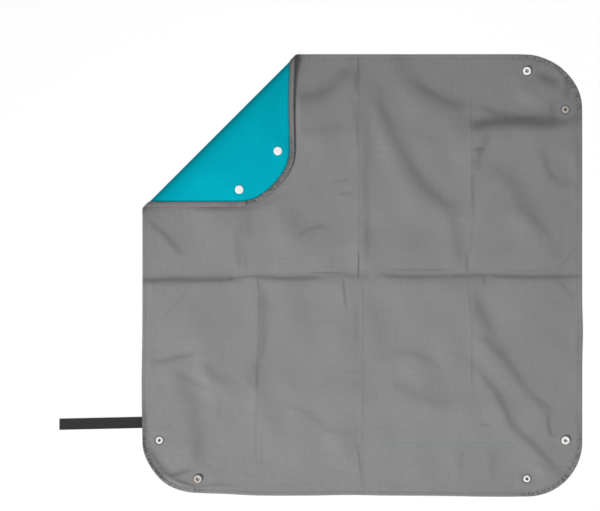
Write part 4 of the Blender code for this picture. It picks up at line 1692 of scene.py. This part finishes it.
    @property
    def half_hem(self) -> float:
        """Half the thickness of the hem."""
        return (self.sizes.sheet_top - self.bottom_clearance) / 2

    def back_level(self, x: Array, y: Array, face_level: Array) -> Array:
        """Works out the height of the back above the floor on the flat mat.

        Args:
            x, y: places on the flat mat.
            face_level: the height of the face there.

        Returns:
            The heights.
        """
        inward, _ = self.sizes.edge_place(x, y)
        sheet = np.maximum(face_level - self.sizes.thickness, self.sheet_clearance)
        ripple = np.maximum(self.relief.puckers(x, y), 0)
        from_strap = np.abs(y + self.sizes.strap_below_centre)
        half_strap = self.sizes.strap_width / 2
        strap = smooth(-from_strap, -half_strap - self.strap_run_in, -half_strap)
        strap *= np.where(x < self.sizes.left + self.strap_end, 1.0, 0.0)
        sunk = self.droop(self.roll.beyond(x, y), inward) * self.relief.still(x, y)
        hem = self.bottom_clearance + self.seam(inward) + self.curl(inward) + ripple
        hem = hem + self.strap_depth * strap + sunk
        least = self.least_thickness * np.clip(inward / self.least_thickness, 0, 1)
        hem = np.minimum(hem, face_level - least)
        return np.where(inward < self.sizes.hem_width + self.hem_edge, hem, sheet)

    def shaped_mesh(self) -> Mesh:
        """Makes the whole sheet in its photographed shape, with what its materials need at each point.

        Returns:
            The mesh.
        """
        mesh = self.flat_mesh()
        flat = read(mesh.vertices, "co", 3)
        layer = read(mesh.attributes["layer"].data, "value")
        x, y = flat[:, 0], flat[:, 1]
        face_level = self.face_level(x, y)
        level = np.where(layer >= 0.5, face_level, self.back_level(x, y, face_level))
        mesh.vertices.foreach_set("co", self.roll.fold(x, y, level).ravel())
        flat[:, 2] = layer
        mesh.update()
        for name, kind, values in (
            ("flat_place", "FLOAT_VECTOR", flat),
            ("painted_shade_map", "FLOAT", self.painted_shading(x, y, layer)),
            ("from_fitting", "FLOAT", self.relief.from_fitting(x, y)),
            ("hem_place", "FLOAT_VECTOR", self.relief.hem_place(x, y)),
            ("whole_normal", "FLOAT_VECTOR", read(mesh.vertex_normals, "vector", 3)),
        ):
            add_attribute(mesh, name, kind, values)
        self.mark_faces(mesh, flat)
        for material in (self.finishes.face, self.finishes.back, self.finishes.turned_hem):
            mesh.materials.append(material)
        return mesh

    def painted_shading(self, x: Array, y: Array, layer: Array) -> Array:
        """How much shade is painted at each place: in the creases, along the fold and in the hem's corner.

        Args:
            x, y: places on the flat mat.
            layer: 1 on the work face, 0 on the back.

        Returns:
            The painted shade, 0 to 1.
        """
        _, painted_shading = self.relief.creases(x, y)
        run = self.roll.beyond(x, y)
        inward, _ = self.sizes.edge_place(x, y)
        painted_shading *= self.relief.still(x, y) * smooth(-run, 0, self.painted_shade_from_fold)
        along_fold = sum(share * bell(run - self.fold_middle, width) for share, width in self.fold_painted_shade)
        shade, place, width = self.corner_shade
        hem_edge = shade * bell(inward - self.sizes.hem_width - place, width)
        shade, *limits = self.turned_shade
        turned_in = shade * smooth(inward, *limits) * (inward < self.sizes.hem_width + self.hem_edge)
        return np.clip(painted_shading + along_fold + (hem_edge + turned_in) * (layer < 0.5), 0, 1)

    def mark_faces(self, mesh: Mesh, flat: Array) -> None:
        """Gives each face its material and the piece of the fabric that it belongs to.

        Args:
            mesh: the whole sheet.
            flat: each point's place on the flat mat, and its layer.
        """
        starts = read(mesh.polygons, "loop_start", kind=int)
        totals = read(mesh.polygons, "loop_total", kind=int)
        corners = read(mesh.loops, "vertex_index", kind=int)
        middles = np.add.reduceat(flat[corners], starts, axis=0) / totals[:, None]
        inward, _ = self.sizes.edge_place(middles[:, 0], middles[:, 1])
        on_back = (middles[:, 2] < self.edge_layer).astype(int)
        mesh.polygons.foreach_set("material_index", on_back * np.where(inward > self.sizes.hem_width, 1, 2))
        mesh.polygons.foreach_set("use_smooth", np.ones(len(starts), bool))
        add_attribute(mesh, "part", "INT", self.part_of(middles[:, 0], middles[:, 1]), "FACE")

    def part_of(self, x: Array, y: Array) -> Array:
        """Finds which piece of the fabric each place on the flat mat belongs to.

        Args:
            x, y: places on the flat mat.

        Returns:
            The number of the piece in Part, for each place.
        """
        run = self.roll.beyond(x, y)
        first_three = [y < 0, run < self.roll.start, run < self.fold_middle]
        return np.select(first_three, [0, 1, 2], 3)

    def build(self) -> dict[Part, Object]:
        """Makes the pieces of the fabric.

        Returns:
            Each piece by its part of the sheet.
        """
        whole = self.shaped_mesh()
        pieces = {part: self.piece(whole, part) for part in Part}
        bpy.data.meshes.remove(whole)
        return pieces

    def piece(self, whole: Mesh, part: Part) -> Object:
        """Takes one piece out of the whole sheet, and closes its thickness where it was parted.

        Args:
            whole: the whole sheet.
            part: which piece.

        Returns:
            The piece.
        """
        mesh = whole.copy()
        mesh.name = part.value
        body = bmesh.new()
        body.from_mesh(mesh)
        flat_layer = body.verts.layers.float_vector["flat_place"]
        part_layer = body.faces.layers.int["part"]
        wanted = list(Part).index(part)
        others = [polygon for polygon in body.faces if polygon[part_layer] != wanted]
        bmesh.ops.delete(body, geom=others, context="FACES")
        self.close_seam(body, flat_layer)
        body.to_mesh(mesh)
        body.free()
        normals = read(mesh.attributes["whole_normal"].data, "vector", 3)
        mesh.normals_split_custom_set_from_vertices(normals.tolist())
        mesh.attributes.remove(mesh.attributes["whole_normal"])
        return placed(bpy.data.objects.new(part.value, mesh))

    @staticmethod
    def spot(flat: Vector) -> tuple[float, float]:
        """A place on the flat mat, rounded so that the face and the back have the same one."""
        return round(flat.x, 6), round(flat.y, 6)

    def close_seam(self, body: bmesh.types.BMesh, flat_layer: object) -> None:
        """Joins the face to the back along the open edges of a piece.

        Args:
            body: the piece.
            flat_layer: where it keeps each point's place on the flat mat, and its layer.
        """
        back = {}
        open_edges = [e for e in body.edges if e.is_boundary]
        for vert in (v for edge in open_edges for v in edge.verts):
            flat = vert[flat_layer]
            if flat.z < self.edge_layer:
                back[self.spot(flat)] = vert
        for edge in open_edges:
            loop = edge.link_loops[0]
            first, second = loop.link_loop_next.vert, loop.vert
            if min(first[flat_layer].z, second[flat_layer].z) < self.edge_layer:
                continue
            below = [back.get(self.spot(vert[flat_layer]), vert) for vert in (second, first)]
            ring = [first, second, *below]
            corners = [v for i, v in enumerate(ring) if v not in ring[:i]]
            if len(corners) > 2:
                body.faces.new(corners)


@dataclass(frozen=True)
class SeamLine:
    """A row of stitches along a line on the flat mat."""

    points: list[tuple[float, float]]
    on_back: bool = False
    under_patch: bool = False


@dataclass
class Stitching:
    """Lockstitches of one thread: short raised loops of thread that dip into the fabric at their ends."""

    name: str
    fabric: Fabric
    material: Material
    slot: str
    seams: list[SeamLine]
    thread_radius: float = 0.24 * MM
    filled: float = 0.78
    sides: int = 6
    # Along a stitch: its place, its thickness and how high it stands, the last two in thread radii
    shape = ((0.0, 0.4, -0.7), (0.14, 0.85, 0.1), (0.5, 1.0, 0.5), (0.86, 0.85, 0.1), (1.0, 0.4, -0.7))

    def build(self) -> dict[Part, Object]:
        """Sews all the seams.

        Returns:
            The stitches on each piece of the fabric.
        """
        parts = [self.stitches(seam) for seam in self.seams]
        places = np.concatenate([places for places, _ in parts])
        owners = np.concatenate([owners for _, owners in parts])
        pieces = {}
        for number, part in enumerate(Part):
            own = places[owners == number]
            if len(own):
                name = f"{self.name}_{part.name.lower()}"
                faces = self.faces(len(own))
                pieces[part] = smooth_object(name, own.reshape(-1, 3), faces, self.material)
        return pieces

    def stitches(self, seam: SeamLine) -> tuple[Array, Array]:
        """Shapes the stitches of one seam.

        Args:
            seam: the seam.

        Returns:
            The points of each stitch, and which piece of the fabric it is on.
        """
        points = np.array(seam.points)
        first, step = points[:-1], np.diff(points, axis=0)
        along = step / np.hypot(*step.T)[:, None]
        aside = np.stack([-along[:, 1], along[:, 0]], axis=1)
        turns = np.arange(self.sides) / self.sides * 2 * math.pi
        rings = []
        for share, thickness, height in self.shape:
            reach = (1 - self.filled) / 2 + share * self.filled
            centre = first + reach * step
            level, outward = self.surface(centre, seam)
            radius = thickness * self.thread_radius
            for turn in turns:
                place = centre + math.cos(turn) * radius * aside
                up = level + outward * height * self.thread_radius + math.sin(turn) * radius
                rings.append(self.fabric.roll.fold(place[:, 0], place[:, 1], up))
        middle = first + step / 2
        return np.stack(rings, axis=1), self.fabric.part_of(middle[:, 0], middle[:, 1])

    def surface(self, places: Array, seam: SeamLine) -> tuple[Array, float]:
        """Finds the surface that a seam lies on.

        Args:
            places: places on the flat mat, one a row.
            seam: the seam.

        Returns:
            The surface's height at each place, and 1 or -1 for which way is out of it.
        """
        x, y = places[:, 0], places[:, 1]
        level = self.fabric.face_level(x, y)
        if seam.under_patch:
            return np.full(len(x), PocketPatch.bottom), -1.0
        if seam.on_back:
            return self.fabric.back_level(x, y, level), -1.0
        return level, 1.0

    def faces(self, count: int) -> list[list[int]]:
        """The faces of a number of stitches."""
        size = len(self.shape) * self.sides
        one = tube_faces(len(self.shape), self.sides)
        return [[corner + size * i for corner in face] for i in range(count) for face in one]


@dataclass
class PocketPatch:
    """The pocket on the back: a patch of the same fabric, sewn on along its top and its two sides."""

    sizes: MatSizes
    fabric: Fabric
    material: Material
    pitch: float = 4 * MM
    top_seams: tuple[float, float] = (2.1 * MM, 9.4 * MM)
    side_seam: float = 1.8 * MM
    stitch_pitch: float = 3.0 * MM
    edge_rings = (0.0, 0.4, 1.2, 2.1, 3.0, 6.0, 8.6, 9.4, 10.2)
    bottom = 0.28 * MM
    thickness = 0.5 * MM
    # The seams draw the patch's underside in, at its edge and again farther in
    seam_depth = 0.12 * MM
    seam_width = 0.7 * MM
    inner_seam = 8.8 * MM
    # Inside its seams the patch hangs a little slack
    slack_share = 0.5
    lower_slack_share = 0.6
    slack_from = (8 * MM, 25 * MM)
    edge_round = (-0.2 * MM, 0.5 * MM)
    # The outer seam leans, and cuts its two corners off unevenly, as a hand guides it
    seam_end = 4 * MM
    lean = 1.5 * MM
    left_cut = (14.4 * MM, 9 * MM)
    right_cut = (4.5 * MM, 6.3 * MM)
    second_seam_ends = (20 * MM, 5 * MM)

    @property
    def low(self) -> tuple[float, float]:
        """The patch's lower left corner."""
        low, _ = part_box("pocket_patch")
        return low.x, low.y

    @property
    def high(self) -> tuple[float, float]:
        """The patch's upper right corner."""
        return self.low[0] + self.sizes.pocket_width, self.low[1] + self.sizes.pocket_depth

    def lines(self, low: float, high: float) -> Array:
        """Places the lines of the patch's grid.

        Args:
            low: where one of its sides is.
            high: where the other one is.

        Returns:
            The places, close together beside the two sides.
        """
        rings = np.array(self.edge_rings) * MM
        count = round((high - low - 2 * rings[-1]) / self.pitch)
        inner = np.linspace(low + rings[-1], high - rings[-1], count + 1)
        return np.concatenate([low + rings[:-1], inner, high - rings[-2::-1]])

    def build(self) -> Object:
        """Makes the patch: flat where it is sewn, and a little slack inside.

        Returns:
            The patch.
        """
        (low_x, low_y), (high_x, high_y) = self.low, self.high
        grids = np.meshgrid(self.lines(low_x, high_x), self.lines(low_y, high_y), indexing="ij")
        x, y = (grid.ravel() for grid in grids)
        inward = np.minimum(np.minimum(x - low_x, high_x - x), np.minimum(y - low_y, high_y - y))
        level = self.fabric.face_level(x, y)
        room = np.maximum(self.fabric.back_level(x, y, level) - self.bottom - self.thickness, 0)
        slack = self.slack_share * room * smooth(inward, *self.slack_from)
        seams = [bell(inward - place, self.seam_width) for place in (self.side_seam, self.inner_seam)]
        edge = self.thickness / 2 * (1 - smooth(inward, *self.edge_round))
        above = self.bottom + self.thickness + slack - edge
        below = self.bottom + self.lower_slack_share * slack + edge
        below = below + self.seam_depth * (seams[0] + seams[1])
        upper = np.arange(x.size).reshape(grids[0].shape)
        faces = [*quads(upper, False).tolist(), *quads(upper + x.size, True).tolist()]
        rim = [int(i) for i in (*upper[:, 0], *upper[-1, 1:], *upper[-2::-1, -1], *upper[0, -2:0:-1])]
        for start, end in zip(rim, [*rim[1:], rim[0]]):
            faces.append([end, start, start + x.size, end + x.size])
        places = np.concatenate([np.stack([x, y, level], axis=1) for level in (above, below)])
        flat = np.concatenate([np.stack([x, y, np.full(x.size, side)], axis=1) for side in (1.0, 0.0)])
        patch = smooth_object("pocket_patch_sheet", places, faces, self.material)
        add_attribute(patch.data, "flat_place", "FLOAT_VECTOR", flat)
        add_attribute(patch.data, "from_fitting", "FLOAT", np.ones(len(flat)))
        return patch

    def seams(self) -> list[SeamLine]:
        """Lays out the seams that hold the patch.

        Returns:
            Each seam twice: on the work face and under the patch.
        """
        (low_x, low_y), (high_x, high_y) = self.low, self.high
        left, right = low_x + self.side_seam + self.lean, high_x - self.side_seam
        top, second_top = high_y - self.top_seams[0], high_y - self.top_seams[1]
        outline = [
            (left - 2 * self.lean, low_y + self.seam_end),
            (left, top - self.left_cut[1]),
            (left + self.left_cut[0], top),
            (right - self.right_cut[0], top),
            (right, top - self.right_cut[1]),
            (right, low_y + self.seam_end),
        ]
        from_left, from_right = self.second_seam_ends
        second = [(low_x + from_left, second_top), (high_x - from_right, second_top)]
        lines = [evenly_spaced(np.array(line), self.stitch_pitch) for line in (outline, second)]
        return [SeamLine(line, under_patch=under) for line in lines for under in (False, True)]


@dataclass
class ElasticStrap:
    """The strap: one length of woven elastic, doubled to a loop, its two ends sewn in under the hem."""

    sizes: MatSizes
    material: Material
    reach: float = 151 * MM
    tab: float = 14 * MM
    skew: float = 3.4 * MM
    layer: float = 0.88 * MM
    tab_layer: float = 0.5 * MM
    lower_level: float = 0.47 * MM
    upper_level: float = 1.93 * MM
    tab_levels: tuple[float, float] = (0.3 * MM, 0.88 * MM)
    slack: float = 0.5 * MM
    cord_pitch: float = 2.5 * MM
    cord_height: float = 0.09 * MM
    edge_round: float = 0.5 * MM
    edge_share: float = 0.2
    along_pitch: float = 2.5 * MM
    across_count: int = 42
    loop_steps: int = 7
    # The hem presses the strap flat, and it comes free of it beyond these places outside the edge
    free_from = (-1 * MM, 11 * MM)
    # Where the strap swings on the mat's edge, from and to, and how high
    swing_from = 3 * MM
    swing_to = 6.5 * MM
    swing_level = 1.2 * MM

    def path(self) -> Array:
        """Lays the middle line of the band from one end to the other.

        Returns:
            x, height and thickness, one place a row.
        """
        left = self.sizes.left
        radius = (self.upper_level - self.lower_level) / 2
        far = left - self.reach + radius + self.layer / 2
        run = np.linspace(left + self.tab, far, round((left + self.tab - far) / self.along_pitch))
        loose = smooth(left - run, *self.free_from)
        arch = np.sin(np.clip((left - run) / self.reach, 0, 1) * math.pi)
        thickness = self.tab_layer + (self.layer - self.tab_layer) * loose
        under = self.tab_levels[0] + (self.lower_level - self.tab_levels[0]) * loose
        over = self.tab_levels[1] + (self.upper_level - self.tab_levels[1]) * loose + self.slack * arch
        turns = np.linspace(-math.pi / 2, math.pi / 2, self.loop_steps + 2)[1:-1]
        middle = (self.upper_level + self.lower_level) / 2
        full = np.full(self.loop_steps, self.layer)
        bend = np.stack([far - radius * np.cos(turns), middle + radius * np.sin(turns), full], axis=1)
        lower = np.stack([run, under, thickness], axis=1)
        upper = np.stack([run, over, thickness], axis=1)[::-1]
        return np.concatenate([lower, bend, upper])

    def build(self) -> Object:
        """Sweeps the band's section, with a rib over each rubber cord, along its path.

        Returns:
            The strap.
        """
        path = self.path()
        steps = np.gradient(path[:, :2], axis=0)
        steps /= np.hypot(*steps.T)[:, None]
        out_x, out_z = steps[:, 1], -steps[:, 0]
        half = self.sizes.strap_width / 2
        across = np.linspace(-half, half, self.across_count)
        past_edge = (np.abs(across) - half + self.edge_round).clip(0) / self.edge_round
        edge = np.sqrt(np.clip(1 - past_edge**2, self.edge_share**2, 1))
        ribs = self.cord_height * (np.cos(2 * math.pi * across / self.cord_pitch) - 1) / 2
        section = np.concatenate([across, across[::-1]])
        side = np.concatenate([np.full(len(across), -1.0), np.full(len(across), 1.0)])
        depth = np.concatenate([edge, edge[::-1]])
        relief = np.concatenate([ribs, ribs[::-1]])
        rows, flats = [], []
        run = np.concatenate([[0], np.cumsum(np.hypot(*np.diff(path[:, :2], axis=0).T))])
        for (x, z, thickness), off_x, off_z, along in zip(path, out_x, out_z, run):
            height = side * (depth * thickness / 2 + relief * thickness / self.layer)
            away = np.clip((self.sizes.left - x) / self.reach, 0, 1)
            y = -self.sizes.strap_below_centre - self.skew * away + section
            rows.append(np.stack([x + off_x * height, y, z + off_z * height], axis=1))
            flats.append(np.stack([np.full(len(section), along), section, side], axis=1))
        faces = tube_faces(len(path), len(section))
        strap = smooth_object("elastic_strap", np.concatenate(rows), faces, self.material)
        add_attribute(strap.data, "flat_place", "FLOAT_VECTOR", np.concatenate(flats))
        return strap


class Studio:
    """A white floor, soft light from the lower left, and the camera straight above."""

    floor_reach = 6.0
    floor_level = -0.05 * MM
    camera_height = 3.0
    sensor = 36.0
    lamp_place = (-1.66, -1.93, 1.69)
    lamp_target = (-0.22, -0.5, 0.0)
    lamp_size = 1.8
    # A honeycomb grid keeps the light to the lower left of the mat, and it fades towards the top
    lamp_spread = 0.6
    lamp_power = 10.9
    world_level = 0.38

    def __init__(self, sizes: MatSizes) -> None:
        """Keeps the mat's sizes."""
        self.sizes = sizes

    def build(self) -> None:
        """Sets the whole studio up."""
        self.make_floor()
        self.make_world()
        self.make_lamp()
        self.make_camera()
        bpy.context.scene.view_settings.view_transform = "Standard"

    def make_floor(self) -> None:
        """Lays the white floor."""
        mesh = bpy.data.meshes.new("floor")
        corners = [
            (across * self.floor_reach, along * self.floor_reach, self.floor_level)
            for across, along in ((-1, -1), (1, -1), (1, 1), (-1, 1))
        ]
        mesh.from_pydata(corners, [], [(0, 1, 2, 3)])
        mesh.materials.append(PaperBackdrop("white_paper_backdrop", "#FAFAFA").build())
        placed(bpy.data.objects.new("floor", mesh))

    def make_world(self) -> None:
        """Fills the room with even light, and shows it white."""
        world = bpy.data.worlds.new("studio")
        bpy.context.scene.world = world
        world.use_nodes = True
        world.node_tree.nodes.clear()
        add = partial(add_node, world.node_tree)
        levels = {1: 1 - self.world_level, 2: self.world_level}
        strength = add("Math", 0, {0: seen(add), **levels}, operation="MULTIPLY_ADD")
        light = add("Background", 0, {"Color": WHITE, "Strength": strength})
        add("OutputWorld", None, {"Surface": light})

    def make_lamp(self) -> None:
        """Hangs a soft box at the lower left."""
        data = bpy.data.lights.new("soft_box", "AREA")
        data.shape = "SQUARE"
        data.size = self.lamp_size
        data.spread = self.lamp_spread
        data.energy = self.lamp_power
        lamp = placed(bpy.data.objects.new("soft_box", data))
        lamp.location = self.lamp_place
        away = Vector(self.lamp_place) - Vector(self.lamp_target)
        lamp.rotation_mode = "QUATERNION"
        lamp.rotation_quaternion = away.to_track_quat("Z", "Y")

    def make_camera(self) -> None:
        """Hangs the camera where the photograph was taken from: straight above, with a long lens."""
        width, height = PHOTO_SIZE
        data = bpy.data.cameras.new("camera")
        data.sensor_width = self.sensor
        data.lens = self.sensor * self.camera_height / (width * PHOTO_PIXEL)
        camera = placed(bpy.data.objects.new("camera", data))
        above = self.camera_height + self.sizes.sheet_top
        camera.location = (*self.sizes.from_photo(width / 2, height / 2), above)
        bpy.context.scene.camera = camera


REPLACED = {
    Part.LOWER: ("mat_lower",),
    Part.UPPER: ("mat_centre_band", "mat_upper"),
    Part.FOLD: ("corner_band",),
    Part.FLAP: ("corner_flap",),
}


def report(piece: Object) -> None:
    """Logs a finished piece."""
    LOG.info("%s: %d faces", piece.name, len(piece.data.polygons))


def dress_fabric(fabric: Fabric, finishes: Finishes) -> None:
    """Builds the fabric's pieces, its seams and its pocket, and ties the pocket to the part.

    Args:
        fabric: the sheet.
        finishes: the materials.
    """
    sizes = fabric.sizes
    line = sizes.outline(sizes.seam_from_edge, sizes.stitch_pitch)
    hem = [SeamLine(line, on_back=back) for back in (False, True)]
    pocket = PocketPatch(sizes, fabric, finishes.back)
    sewn = (
        Stitching("hem_stitches", fabric, finishes.face_thread, "grey_fabric", hem),
        Stitching("pocket_stitches", fabric, finishes.pocket_thread, "teal_fabric", pocket.seams()),
    )
    threads: dict[Part, list[Object]] = {part: [] for part in Part}
    for stitching in sewn:
        for part, piece in stitching.build().items():
            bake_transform(piece)
            threads[part].append(piece)
            report(piece)
    for part, piece in fabric.build().items():
        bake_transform(piece)
        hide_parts(*REPLACED[part])
        report(piece)
    patch = pocket.build()
    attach(patch, "lower_half")
    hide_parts("pocket_patch")
    report(patch)


def dress_strap(sizes: MatSizes, finishes: Finishes) -> None:
    """Builds the strap, in place of the part's own.

    Args:
        sizes: the mat's sizes.
        finishes: the materials.
    """
    band = ElasticStrap(sizes, finishes.elastic)
    strap = band.build()
    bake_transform(strap)
    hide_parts("strap_loop", "strap_tab")
    report(strap)


def dress_press_studs(finishes: Finishes) -> None:
    """Gives the press studs of the part their metal and enamel.

    Args:
        finishes: the materials.
    """
    for name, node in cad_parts.items():
        for start, material in finishes.press_studs.items():
            if name.startswith(start):
                node.data.materials.clear()
                node.data.materials.append(material)


def main() -> None:
    """Dresses the mat."""
    logging.basicConfig(level=logging.INFO, format="%(name)s: %(message)s")
    sizes = MatSizes.of_part()
    finishes = Finishes.make()
    dress_fabric(Fabric(sizes, finishes), finishes)
    dress_strap(sizes, finishes)
    dress_press_studs(finishes)
    Studio(sizes).build()


if __name__ == "__main__":
    main()
